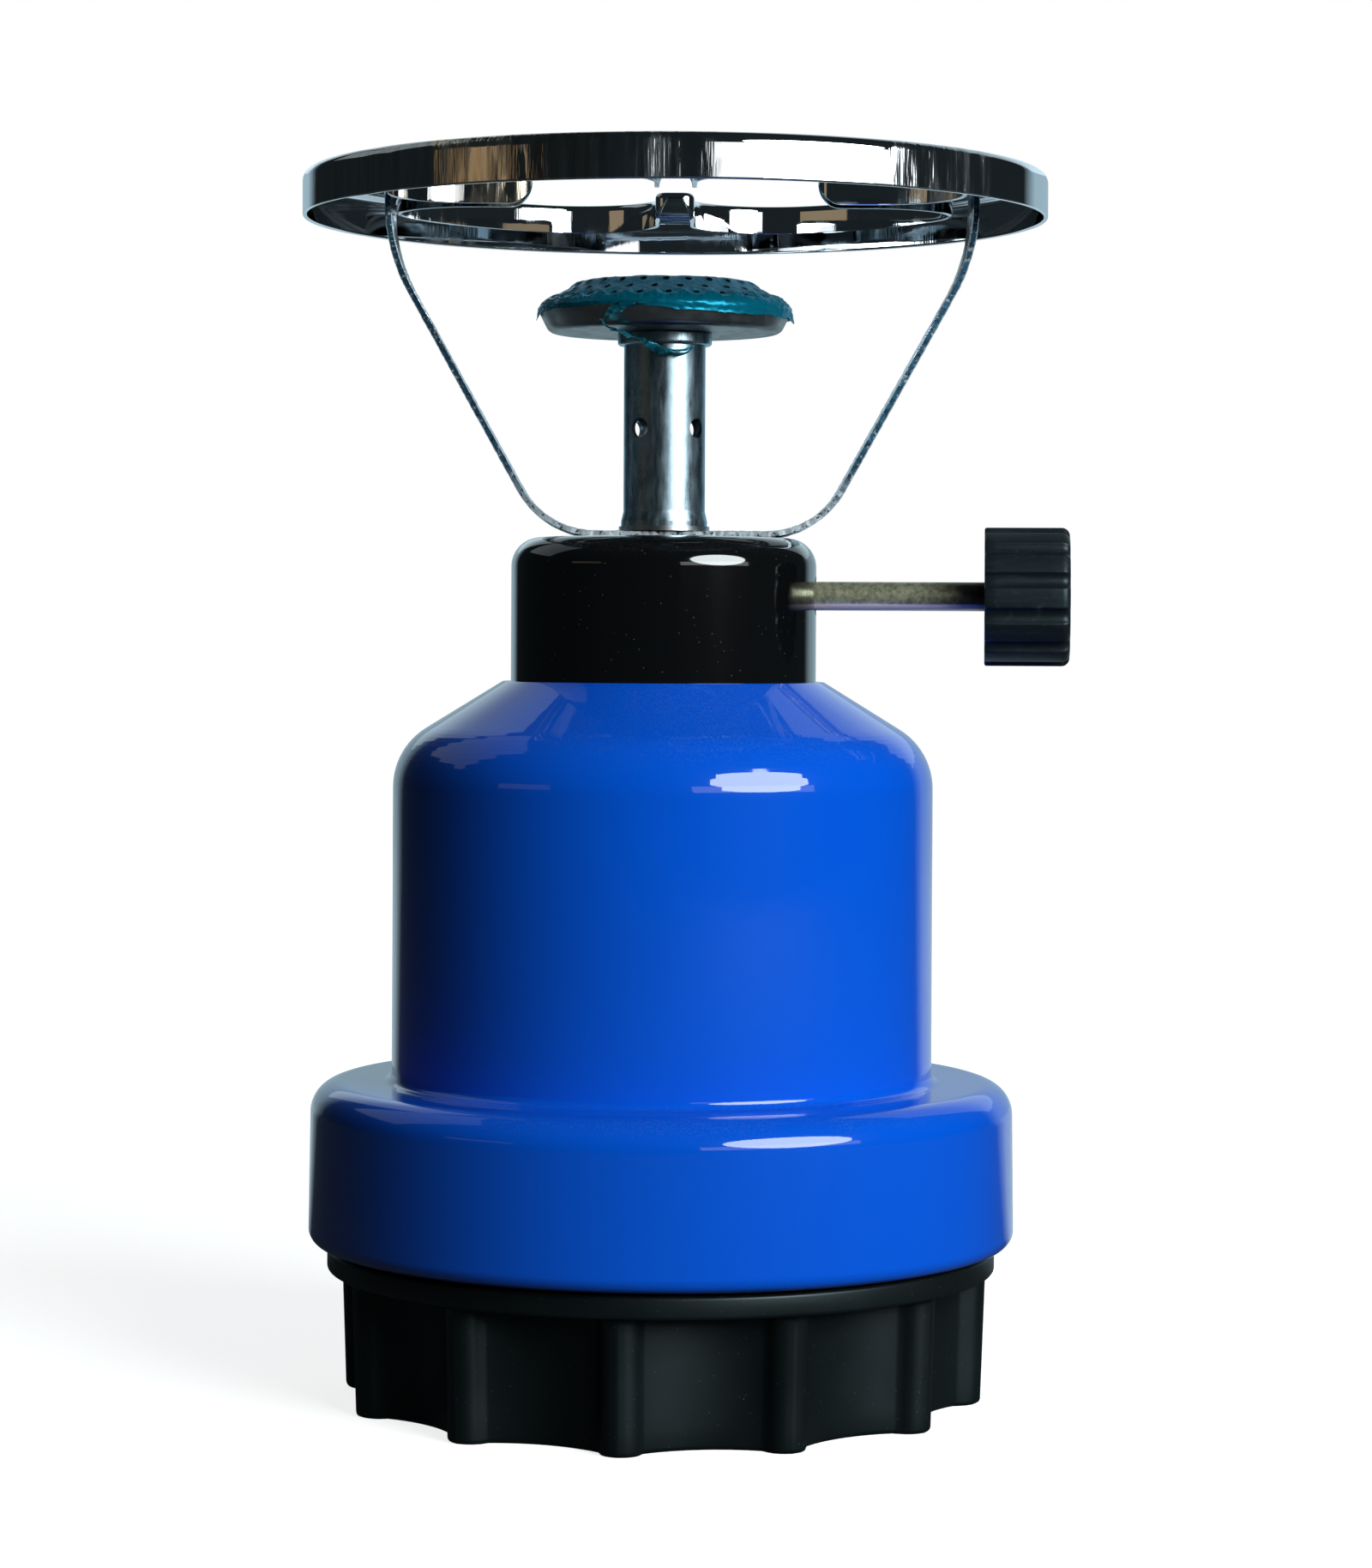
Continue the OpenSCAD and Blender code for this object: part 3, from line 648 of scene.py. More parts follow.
def film():
    """Stretched metallised film: grey-blue over the steel, bright teal where it bunches at the rim."""
    paint = Paint("film", (0.07, 0.24, 0.36), 0.4, metallic=0.35, Specular_Tint=(0.2, 0.6, 0.75, 1))
    paint.mottle((0.035, 0.19, 0.31), 0.7, 260, 4, 0.4, 0.7, 0.6)
    paint.mottle((0.12, 0.28, 0.36), 0.5, 700, 3, 0.56, 0.75, 0.6)
    ragged = paint.ramp(paint.noise(300, 3), 0.2, 0.8, -0.35, 0.35)
    edge = paint.math("ADD", paint.along("Z", FILM_LOW + 2.7, FILM_LOW + 1.8), ragged)
    rim = paint.ramp(edge, 0.3, 0.7)
    paint.tint(rim, (0.002, 0.22, 0.34))
    paint.gloss(rim, 0.26)
    paint.bump(paint.noise(900, 4, 0.65), 0.05, coat=True)
    return paint


def film_strand():
    paint = Paint("film_strand", (0.02, 0.3, 0.4), 0.26, metallic=0.4, Specular_Tint=(0.2, 0.7, 0.8, 1))
    paint.mottle((0.004, 0.05, 0.09), 1.0, 900, 4, 0.45, 0.65, 0.6)
    # painted glints: pale cyan specks in the colour stand in for glints on the twisted film
    paint.mottle((0.3, 0.62, 0.7), 1.0, 1300, 3, 0.6, 0.72, 0.6)
    paint.bump(paint.noise(1500, 3, 0.6), 0.06, coat=True)
    return paint


def yellow_zinc():
    """Yellow passivated steel: speckled gold, browned towards the knob by painted shade, with a painted
    pinkish reflection in a line below.
    """
    paint = Paint("yellow_zinc", (0.5, 0.5, 0.33), 0.36, metallic=1.0)
    paint.mottle((0.24, 0.25, 0.16), 1.0, 900, 4, 0.42, 0.62, 0.7)
    # painted shade: the colour darkens to brown towards the knob, where the knob shades the spindle
    paint.tint(paint.along("X", 44, 55), (0.07, 0.04, 0.03))
    # painted reflection: a pinkish line along the underside near the knob, made less metallic so its colour
    # shows
    painted_reflection_line = paint.times(paint.window("Z", SPINDLE_Z - 1.9, 0.35, 0.3), paint.along("X", 58, 50))
    paint.tint(painted_reflection_line, (1.0, 0.78, 0.74))
    paint.unplate(paint.math("MAXIMUM", paint.times(painted_reflection_line, 0.85), 0.4))
    paint.bump(paint.noise(1100, 3), 0.03)
    return paint


def brass():
    paint = Paint("brass", (0.72, 0.53, 0.25), 0.25, metallic=1.0)
    paint.mottle((0.45, 0.3, 0.13), 0.6, 250, 4, 0.4, 0.75)
    paint.bump(paint.noise(800, 3), 0.02, 0.6)
    return paint


def bronze_filter():
    paint = Paint("bronze_filter", (0.42, 0.3, 0.15), 0.6, metallic=0.8)
    paint.bump(paint.specks(1400, 0.4), 0.15)
    return paint


def rubber():
    paint = Paint("rubber", (0.012, 0.012, 0.012), 0.65)
    paint.mottle((0.03, 0.03, 0.03), 0.5, 300, 4, 0.4, 0.8)
    paint.bump(paint.noise(1200, 3), 0.04, 0.7)
    return paint


MAKERS = (blue_enamel, collar_plastic, black_plastic, knob_plastic, chrome, tube_steel, strip_steel,
          zinc_steel, dark_steel, film, yellow_zinc, brass, bronze_filter, rubber, film_strand)
MATERIALS = {make.__name__: make().material for make in MAKERS}


def dress_cad_nodes():
    """Gives every CAD node the material of its slot."""
    for part in frame["record"]["subparts"]:
        mesh = frame["nodes"][part["node"]].data
        mesh.materials.clear()
        mesh.materials.append(MATERIALS[part["material_slot"]])


# ---- base


def lobed_radius(angle):
    """Radius of the grip at an angle from a lobe's middle: round tips with hollow flutes between."""
    pitch = TAU / LOBES
    a = abs((angle + pitch / 2) % pitch - pitch / 2)
    centre = LOBE_R - LOBE_TIP_R
    edge = pitch / 2 - math.asin(LOBE_TIP_R / centre)
    ex, ey = centre * math.cos(edge), centre * math.sin(edge)
    flute_arc = ((ex - FLUTE_R) ** 2 + ey ** 2) / (2 * (ex - FLUTE_R))
    b = pitch / 2 - a
    middle = FLUTE_R + flute_arc
    flute = middle * math.cos(b) - math.sqrt(max(flute_arc ** 2 - (middle * math.sin(b)) ** 2, 0))
    side = centre * math.sin(a)
    if side >= LOBE_TIP_R:
        return flute
    tip = centre * math.cos(a) + math.sqrt(LOBE_TIP_R ** 2 - side ** 2)
    return -soft_min(-flute, -tip, 0.35)


def lobed(z, inset=0.0):
    """A ring of the grip at a height. Its draft fades inward from the lobes."""
    still_r = FLUTE_R * 0.8
    draft = GRIP_DRAFT * (1 - z / GRIP_H)

    def radius_at(a):
        r = lobed_radius(a - LOBE_PHASE)
        return r - (draft * (r - still_r) / (LOBE_R - still_r) + inset)

    return loop_about(radius_at, z, BASE_SEGMENTS)


def thread_rings(low, high):
    """Rings of the spigot, whose three-start thread fades out at both ends."""
    starts, lead, depth, step, run_out = 3, 12.0, 1.1, 0.35, 1.5
    steps = int((high - low) / step)

    def thread_ring(z):
        fade = clamp(min((z - low) / run_out, (high - z) / run_out))

        def radius_at(a):
            wave = abs((z / lead - a / TAU) * starts % 1.0 - 0.5) * 2
            return SPIGOT_R - depth * fade * (1 - clamp((wave - 0.35) / 0.3))

        return loop_about(radius_at, z, BASE_SEGMENTS)

    return [thread_ring(low + (high - low) * i / steps) for i in range(steps + 1)]


def base_cup():
    """Moulded base: lobed grip with draft, flange, spigot with three-start thread, and bay."""
    low, top = base_low.z, base_high.z
    edge, root, flange_edge, chamfer, bay_fillet = 0.9, 1.0, 0.7, 0.8, 1.0

    def level(places):
        return [circle(r, z, BASE_SEGMENTS) for r, z in places]

    rings = level([(0.01, low), (40, low)]) + [lobed(low, edge)]
    rounded_foot = arc_points(low + edge, edge, edge, 2 * QUARTER, 3 * QUARTER, 5)[1:]
    under_flange = arc_points(GRIP_H - root, -root, root, QUARTER, 0, 5)
    rings += [lobed(z, inset) for z, inset in rounded_foot]
    rings += [lobed(z) for z in (4, 8, 12, 16, 20)]
    rings += [lobed(z, inset) for z, inset in under_flange]
    flange = [(FLANGE_R - 1.5, GRIP_H), (FLANGE_R, GRIP_H), (FLANGE_R, FLANGE_TOP), (SPIGOT_R, FLANGE_TOP)]
    rings += level(fillet(flange, [0, flange_edge, flange_edge, 0], 4) + [(SPIGOT_R, FLANGE_TOP + 0.2)])
    rings += thread_rings(FLANGE_TOP + 2.0, top - 1.2)
    rings += level([(SPIGOT_R, top - chamfer), (SPIGOT_R - chamfer, top), (BAY_R + chamfer, top),
                    (BAY_R, top - chamfer), (BAY_R, FLOOR_T + bay_fillet), (BAY_R - bay_fillet, FLOOR_T),
                    (0.01, FLOOR_T)])
    mesh = grid_mesh("base_cup_body", rings, "open", 50)
    new_object("base_moulding", mesh, "base", "black_plastic", ["base_cup"])


# ---- body, collar and knob


def body_shell():
    """Pressed body, from its rolled lip to the hole under the collar."""
    skirt_r, skirt_taper = shell_high.x, 0.35
    roll, lip, corner, crease = 2.5, 0.8, 5.25, 1.5
    neck_hole_r = 9.3
    cone_top = shell_high.z
    cone_foot = cone_top - (UPPER_R - SHELL_TOP_R) * math.tan(CONE_ANGLE)
    points = [(skirt_r - roll - lip, shell_low.z), (skirt_r, shell_low.z), (skirt_r - skirt_taper, LEDGE_Z),
              (UPPER_R, LEDGE_Z), (UPPER_R, cone_foot), (SHELL_TOP_R, cone_top), (neck_hole_r, cone_top)]
    line = fillet(points, [0, roll, corner, crease, SHOULDER_R, 0.5, 0], 12)
    turned("body_pressing", "body_shell", "blue_enamel", thicken(line, SHELL_T), 256)


def collar():
    """Moulded collar, with a hole in its side for the spindle."""
    r, wall, rounding, spindle_hole_r = collar_high.y, 2.4, 5.0, 3.5
    line = fillet([(r, collar_low.z), (r, collar_high.z), (OUTLET_R, collar_high.z)], [0, rounding, 0], 12)
    piece = turned("collar_moulding", "collar", "collar_plastic", thicken(line, wall), 256)
    cut_holes(piece, level_rod(0, r - 6, r + 6, spindle_hole_r, SPINDLE_Z, 48))


def groove_radius(angle, outer):
    """Radius of the grooved knob at an angle from a groove's middle, with soft edges."""
    pitch = TAU / KNOB_GROOVES
    b = (angle + pitch / 2) % pitch - pitch / 2
    centre = outer + KNOB_GROOVE_R - KNOB_GROOVE_DEPTH
    side = centre * math.sin(b)
    if abs(side) >= KNOB_GROOVE_R:
        return outer
    groove = centre * math.cos(b) - math.sqrt(KNOB_GROOVE_R ** 2 - side ** 2)
    return soft_min(outer, groove, 0.3)


def knob():
    """Grooved knob, with a hollow back round its hub."""
    outer = knob_high.z - SPINDLE_Z
    x0, x1 = knob_low.x, knob_high.x
    hollow_x, hollow_r, hub_r, shaft_r = x0 + 4, 9.0, 4.5, 2.52
    edge, dish_r, dish = 1.4, 8.1, 0.35
    segments = 480

    def grooved(x, inset=0.0):
        loop = loop_about(lambda a: groove_radius(a - KNOB_PHASE, outer) - inset, x, segments)
        return about_spindle(loop)

    def plain(places):
        return [about_spindle(circle(r, x, segments)) for x, r in places]

    rings = plain([(hollow_x, hub_r), (hollow_x, hollow_r), (x0 + 0.2, hollow_r + 0.1),
                   (x0, hollow_r + 0.3)])
    rings += [grooved(x0, 0.35), grooved(x0 + 0.1, 0.1), grooved(x0 + 0.35)]
    rings += [grooved(x0 + (x1 - edge - x0) * s / 6) for s in range(1, 7)]
    rings += [grooved(x, inset) for x, inset in arc_points(x1 - edge, edge, edge, -QUARTER, 0, 6)[1:]]
    rings += plain([(x1, dish_r + 0.4), (x1 - dish, dish_r), (x1 - dish, 0.01)])
    new_object("knob_moulding", grid_mesh("knob_body", rings, "open"), "knob", "knob_plastic",
               ["control_knob"])
    hub = plain([(hollow_x, hub_r), (x0 + 0.1, hub_r - 0.1), (x0, hub_r - 0.3), (x0, shaft_r),
                 (hollow_x, shaft_r)])
    new_object("knob_hub", grid_mesh("knob_hub_body", hub), "knob", "knob_plastic")


# ---- burner tube and head


def burner_tube():
    """Tube with a flared foot and its air holes."""
    foot, bottom, wall, hole_z = tube_high.y, tube_low.z, 0.8, tube_low.z + 17
    line = fillet([(foot, bottom), (foot, bottom + 0.9), (TUBE_R, bottom + 2.6), (TUBE_R, neck_high.z)],
                  [0, 0.3, 1.5, 0], 6)
    piece = turned("tube", "burner_tube", "tube_steel", thicken(line, wall), 160)
    for degrees in (AIR_HOLE_PHASE, AIR_HOLE_PHASE + 90):
        cut_holes(piece, level_rod(math.radians(degrees), -12, 12, AIR_HOLE_R, hole_z, 40))


def neck_ring():
    r, low, high = neck_high.y, neck_low.z, neck_high.z
    line = fillet([(TUBE_R, low), (r, low), (r, high), (TUBE_R, high)], [0, 0.5, 0.2, 0], 5)
    turned("tube_neck", "neck_ring", "tube_steel", line, 128)


def burner_cup():
    """Pressed cup of the head: flat bottom, round corner, side that opens a little, upright rim."""
    low, lip = cup_low.z, cup_high.z
    taper, rim = 1.6, 0.5
    line = fillet([(7.0, low), (CUP_R - taper, low), (CUP_R, lip - rim), (CUP_R, lip)], [0, 1.6, 0.6, 0], 8)
    turned("head_cup", "burner_cup", "dark_steel", thicken(line, HEAD_T), 224)


def cap_height(r):
    """Height of the cap's outside at a radius, with a soft bend where the flank meets the crown."""
    flank = CAP_LIP + FLANK_H * (CUP_R - r) / (CUP_R - CROWN_R)
    crown = CAP_LIP + FLANK_H + CROWN_H * (CROWN_R - r) / CROWN_R
    return soft_min(flank, crown, 0.5)


def port_places():
    """Place and outward direction of each port of the cap, in mm."""
    out, up = math.sin(FLANK_SLOPE), math.cos(FLANK_SLOPE)
    for share, first in PORT_ROWS:
        r = CUP_R + (CROWN_R - CUP_R) * share
        for i in range(PORTS):
            a = math.radians(first) + VIEW_TURN - QUARTER + TAU * i / PORTS
            yield (Vector((r * math.cos(a), r * math.sin(a), CAP_LIP + FLANK_H * share)),
                   Vector((out * math.cos(a), out * math.sin(a), up)))


def port_cutter(radius, length=5.0, sides=14):
    """One mesh of short rods, one through each port."""
    work = bmesh.new()
    for place, out in port_places():
        spot = Matrix.Translation(place * MM) @ out.to_track_quat("Z", "Y").to_matrix().to_4x4()
        bmesh.ops.create_cone(work, cap_ends=True, segments=sides, radius1=radius * MM, radius2=radius * MM,
                              depth=length * MM, matrix=spot)
    return finished("ports", work)


def burner_cap():
    """Pressed cap with its rows of ports."""
    inner_r = CUP_R - HEAD_T
    radii = [0.01, 5, 10, 13] + [14 + 0.25 * i for i in range(9)] + [17.5, 19, 20.5, CUP_R]
    outer = [(r, cap_height(r)) for r in radii]
    inner = [(min(r, inner_r), cap_height(r) - HEAD_T) for r in radii[:-1]] + [(inner_r, CAP_LIP)]
    piece = turned("head_cap", "burner_cap", "dark_steel", outer + inner[::-1], 260)
    cut_holes(piece, port_cutter(PORT_R))


# ---- torn film


def film_edge(angle):
    """How far the torn film hangs below the cup's lip at an angle right of the camera, in mm."""
    ragged, teeth = round_noise(angle, 6, 2.0) * 0.35, round_noise(angle, 30, 5.0) * 0.2
    drop = 0.2 + ragged + teeth + 1.2 * ease((angle + 0.4) / 0.8) * ease((2.3 - angle) / 0.8)
    tags = 1.5 * math.exp(-((angle + 1.5) / 0.1) ** 2) + 0.6 * math.exp(-((angle - 1.48) / 0.1) ** 2)
    return max(drop + tags, 0.05)


def film_rise(r):
    """How far the bunched film stands over the cap's flank at a radius, in mm."""
    start, peak_r, peak = 16.5, 20.4, 1.0
    sag = 0.35 * (max(r - peak_r, 0) / (CUP_R - peak_r)) ** 2
    return peak * ease((r - start) / (peak_r - start)) - sag


def film_on_cap(r, angle, over, ports):
    """A point of the film on the cap, this far over its inner skin, with burrs round the ports."""
    a = angle + VIEW_TURN - QUARTER
    slope = FLANK_SLOPE if r > CROWN_R else 0.05
    p = Vector((r * math.cos(a), r * math.sin(a), cap_height(r)))
    near = min((p - q).length for q in ports) if r > 13.5 else 9
    wrinkle = noise.fractal(p * 0.55, 1.0, 2.0, 4) * 0.14
    wrinkle += abs(noise.noise(p * 1.3)) * 0.25 * clamp((r - 17.5) / 3)
    burr = 0.16 * math.exp(-((near - 0.75) / 0.2) ** 2)
    rise = 0.06 + over + max(wrinkle, -0.04) + burr
    up = film_rise(r) * (0.35 + 0.65 * clamp((near - 0.8) / 1.3))
    return (p.x + rise * math.sin(slope) * math.cos(a), p.y + rise * math.sin(slope) * math.sin(a),
            p.z + rise * math.cos(slope) + up)


def film_on_side(angle, share, over):
    """A point of the film's skirt, from the shoulder of its bunched rim down to its torn edge."""
    a = angle + VIEW_TURN - QUARTER
    shoulder = film_rise(CUP_R)
    z = shoulder - (shoulder + film_edge(angle)) * share
    flare = 0.3 * math.exp(-((abs(angle) - 1.52) / 0.12) ** 2) * max(-z, 0)
    ripple = abs(round_noise(angle, 9, z)) * 0.2
    bulge = 0.16 * math.sin(math.pi * min(share * 1.4, 1))
    r = CUP_R + 0.1 + ripple + flare + bulge + over
    return (r * math.cos(a), r * math.sin(a), CAP_LIP + z)


def cap_film():
    """Torn protective film that is pressed over the cap, with burst holes at the ports."""
    segments, skirt_rows, sheet_t = 780, 8, 0.1
    ports = [place for place, out in port_places()]
    radii = [0.05, 4, 8, 11, 13] + [13.6 + 0.17 * i for i in range(48)]
    angles = [TAU * j / segments - math.pi for j in range(segments)]

    def skin_rings(over):
        rings = [[film_on_cap(r, angle, over, ports) for angle in angles] for r in radii]
        for s in range(skirt_rows + 1):
            rings.append([film_on_side(angle, s / skirt_rows, over) for angle in angles])
        return rings

    mesh = grid_mesh("cap_film_body", skin_rings(sheet_t) + skin_rings(0)[::-1], sharp_angle=60)
    piece = new_object("torn_film", mesh, "stove", "film", ["cap_film"])
    cut_holes(piece, port_cutter(PORT_R * 1.1))


def film_ribbon(name, points, width, twist):
    """A torn strip of the film: a thin twisted ribbon along a line."""
    line = smooth_line(points, 12)
    rings = []
    for i, p in enumerate(line):
        ahead = ahead_at(line, i)
        share = i / (len(line) - 1)
        side = ahead.cross(Vector((0, 0, 1)))
        side = side.normalized() if side.length > 0.1 else Vector((1, 0, 0))
        turn = Matrix.Rotation(twist * share + 0.9 * noise.noise(p * 0.4), 3, ahead)
        u, v = turn @ side, turn @ ahead.cross(side)
        taper = min(1, 6 * share + 0.3, 5 * (1 - share) + 0.25)
        half = width * (0.5 + 0.3 * noise.noise(p * 0.9)) * taper
        thick = 0.16 + 0.08 * noise.noise(p * 1.7)
        rings.append([p + u * half * c + v * thick * s for c, s, _ in circle(1, 0, 12)])
    mesh = grid_mesh(name + "_body", rings, "capped", 70)
    new_object(name, mesh, "stove", "film", finish="film_strand")


def film_strands():
    """The torn strip that loops over the cup and hangs across the neck, and a thread beside it."""
    strip = [on_cup(*p) for p in STRIP_ON_CUP_PX] + [photo_place(*p) for p in STRIP_FREE_PX]
    film_ribbon("film_strip", strip, 1.5, 7)
    film_ribbon("film_thread", [photo_place(*p) for p in THREAD_PX], 0.5, 3)


# ---- pan support


def rest_place(shift):
    """From the pan support's own frame to the object's, in mm."""
    return Matrix.Rotation(VIEW_TURN, 4, "Z") @ Matrix.Translation((shift, 0, 0))


def strip_line():
    """Middle line of one leg, from the foot's middle out to the end of its tab, as (x, z)."""
    foot_z = STRIP_LOW + STRIP_T / 2
    leg_top = RING_TOP - RING_T - STRIP_T / 2 - TAB_BEND_R
    foot = Vector((STRIP_FLAT, foot_z + STRIP_BEND_R))
    upper = Vector((STRIP_TOP_X - STRIP_UPPER_R, leg_top - UPRIGHT_L))
    span = upper - foot
    lean = math.atan2(span.y, span.x) - math.asin((STRIP_UPPER_R - STRIP_BEND_R) / span.length)
    line = [(STRIP_FLAT * s / 12, foot_z) for s in range(12)]
    line += arc_points(foot.x, foot.y, STRIP_BEND_R, -QUARTER, lean - QUARTER, 16)
    leg_start = Vector(line[-1])
    arc = arc_points(upper.x, upper.y, STRIP_UPPER_R, lean - QUARTER, 0, 18)
    line += [tuple(leg_start.lerp(Vector(arc[0]), s / 40)) for s in range(1, 40)]
    line += arc
    line += arc_points(STRIP_TOP_X + TAB_BEND_R, leg_top, TAB_BEND_R, 2 * QUARTER, QUARTER, 8)
    end = line[-1]
    return line + [(end[0] + TAB_L * s / 6, end[1]) for s in range(1, 7)]


def support_strip():
    """Sheared steel strip: a rectangle with burred edges, swept along both legs."""
    leg = strip_line()
    line = even_line([Vector((-x, z)) for x, z in leg[:0:-1]] + [Vector(p) for p in leg], 0.45)
    place = rest_place(STRIP_SHIFT)
    draw = random.Random(11)
    section = [(-0.5, -0.35), (-0.46, -0.5), (0.46, -0.5), (0.5, -0.35),
               (0.5, 0.35), (0.46, 0.5), (-0.46, 0.5), (-0.5, 0.35)]
    rings = []
    for i, p in enumerate(line):
        up = left_at(line, i)
        burr = [draw.uniform(-0.07, 0.05) for _ in range(2)]
        bite = [draw.uniform(-0.05, 0.09) for _ in range(2)]
        ring = []
        for across, thick in section:
            front = across > 0
            y = STRIP_W * across + burr[front] * (1 if front else -1)
            spot = p + up * (STRIP_T * thick * (1 - bite[front]))
            ring.append(tuple(place @ Vector((spot.x, y, spot.y))))
        rings.append(ring)
    mesh = grid_mesh("support_strip_body", rings, "capped", 40)
    piece = new_object("pan_strip", mesh, "stove", "strip_steel", ["support_strip"])
    hole = [circle(OUTLET_R, z, 48) for z in (STRIP_LOW - 1, STRIP_LOW + STRIP_T + 1)]
    cut_holes(piece, grid_mesh("cutter", hole, "capped"))


def clover(g):
    """Closed outline of the ring's opening, grown by g into the sheet."""
    corner = 2.2
    cy = FINGER_HALF + FINGER_ROOT_R
    cx = math.sqrt((OPENING_R - FINGER_ROOT_R) ** 2 - cy * cy)
    turn = math.atan2(cy, cx)
    start = FINGER_TIP_R + corner
    half = [(FINGER_TIP_R + g, 0.0), (FINGER_TIP_R + g, (FINGER_HALF - corner) / 2)]
    half += arc_points(start, FINGER_HALF - corner, corner - g, 2 * QUARTER, QUARTER, 8)
    half += [(start + (cx - start) * (s / 16) ** 1.3, FINGER_HALF - g) for s in range(1, 16)]
    half += arc_points(cx, cy, FINGER_ROOT_R + g, -QUARTER, turn, 26)
    half += arc_points(0, 0, OPENING_R + g, turn, QUARTER / 2, 12)[1:]
    petal = half + [(y, x) for x, y in half[-2:0:-1]]
    loop = []
    for q in range(4):
        c, s = math.cos(q * QUARTER), math.sin(q * QUARTER)
        loop += [(x * c - y * s, x * s + y * c) for x, y in petal]
    return loop


def flange_depth(x, y):
    """Depth of the flange round the opening. It runs out in a quarter ellipse at a finger's tip."""
    along, beside = max(abs(x), abs(y)), min(abs(x), abs(y))
    if beside > FINGER_HALF + 0.01:
        return FLANGE_H
    share = clamp((along - FINGER_TIP_R) / FLANGE_RUN_OUT)
    at_tip = RING_T + 0.35
    return at_tip + (FLANGE_H - at_tip) * math.sqrt(1 - (1 - share) ** 2)


def ring_loop(work, points):
    """A loop of vertices at points of the ring's own frame, in mm."""
    place = rest_place(RING_SHIFT)
    return [work.verts.new(place @ Vector(p) * MM) for p in points]


def opening_loops(work):
    """Loops round the opening: from the flat top over the bend, down the flange and up its back."""
    top = RING_TOP
    flat, bend, foot, brace = 2.0, 1.0, 0.12, 0.2
    inner_bend = bend - RING_T + 0.1
    depths = [flange_depth(x, y) for x, y in clover(0)]

    def loop(g, height):
        return ring_loop(work, [(x, y, height(d)) for (x, y), d in zip(clover(g), depths)])

    def on_wall(upper):
        """Height of a loop near the upper or the lower end of the flange's front."""
        def height(d):
            start, end = max(top - bend, top - d + foot + 0.01), top - d + foot
            reach = min(brace, (start - end) * 0.3)
            return start - reach if upper else end + reach
        return height

    loops = [loop(flat, lambda d: top), loop(bend + brace, lambda d: top)]
    for g, z in arc_points(bend, top - bend, bend, QUARTER, 2 * QUARTER, 8):
        loops.append(loop(g, lambda d, z=z: max(z, top - d + foot + 0.01)))
    loops += [loop(0, on_wall(True)), loop(0, on_wall(False))]
    for g, rise in ((0, foot), (foot, 0), (RING_T - foot, 0), (RING_T, foot)):
        loops.append(loop(g, lambda d, rise=rise: top - d + rise))
    centre = (RING_T + inner_bend, top - RING_T - inner_bend)
    for g, z in arc_points(*centre, inner_bend, 2 * QUARTER, QUARTER, 4):
        loops.append(loop(g, lambda d, z=z: z))
    return loops + [loop(flat, lambda d: top - RING_T)]


def band_line():
    """Section of the rim as (r, z): flat top, edge, band, and back inside."""
    r, top, edge, lip, flat = OUTER_RING_R, RING_TOP, RING_EDGE_R, 0.3, 1.2
    low = top - BAND_H
    line = [(r - edge - flat, top)]
    line += arc_points(r - edge, top - edge, edge, QUARTER, 0, 10)
    line += [(r, top - BAND_H / 2), (r, low + lip + 0.05)]
    line += arc_points(r - lip, low + lip, lip, 0, -QUARTER, 4)
    line += arc_points(r - RING_T + lip, low + lip, lip, -QUARTER, -2 * QUARTER, 4)
    line += [(r - RING_T, top - BAND_H / 2)]
    line += arc_points(r - edge, top - edge, edge - RING_T, 0, QUARTER, 6)
    return line + [(r - edge - flat, top - RING_T)]


def band_circle(r, z, segments=420):
    """A circle of the rim, slightly wavy, with a dent at an angle right of the camera."""
    dent_at, dent_half, dent_depth = math.radians(-52), math.radians(3.2), 0.45

    def radius_at(a):
        off = (a + QUARTER - dent_at + math.pi) % TAU - math.pi
        dent = dent_depth * math.exp(-(off / dent_half) ** 2) * clamp((r - OUTER_RING_R + 3) / 3)
        return r - dent + 0.05 * round_noise(a, 2.2, z * 0.05)

    return loop_about(radius_at, z, segments)


def pan_ring():
    """Chromed ring: rounded band, flat top with four fingers, flange round the opening."""
    work = bmesh.new()
    inner = opening_loops(work)
    skin(work, inner)
    outer = [ring_loop(work, band_circle(r, z)) for r, z in braced(band_line(), False)]
    skin(work, outer)
    for pair in ((inner[0], outer[0]), (inner[-1], outer[-1])):
        edges = [work.edges.get(ends) for ring in pair for ends in zip(ring, ring[1:] + ring[:1])]
        bmesh.ops.triangle_fill(work, edges=edges, use_beauty=True)
    new_object("pan_ring_pressing", finished("pan_ring_body", work, 40), "stove", "chrome", ["pan_ring"])


# ---- camera, stage and lamps

BACKDROP_AZIMUTH = 174.5   # middle of the white backdrop, right of the camera's side, in degrees
BACKDROP = 0.55            # how bright a mirror sees the backdrop
ROOM_DIM = 0.012           # and the room beside it
FLOOR_DIM = 0.02           # and the floor there
MIRRORED_TINT = (0.62, 0.87, 1.0, 1)
WHITE = (1, 1, 1, 1)


def add_camera():
    data = bpy.data.cameras.new("camera")
    data.sensor_width = 36
    data.lens = FOCAL_PX / PHOTO_H * data.sensor_width
    data.shift_x = (PHOTO_W / 2 - AXIS_PX) / PHOTO_H
    data.shift_y = (HORIZON_PX - PHOTO_H / 2) / PHOTO_H
    data.clip_start = 0.01
    camera = link("camera", data)
    camera.location = (CAMERA_DISTANCE * math.sin(VIEW_TURN), -CAMERA_DISTANCE * math.cos(VIEW_TURN),
                       CAMERA_HEIGHT)
    camera.rotation_euler = (QUARTER, -CAMERA_ROLL, VIEW_TURN)
    bpy.context.scene.camera = camera


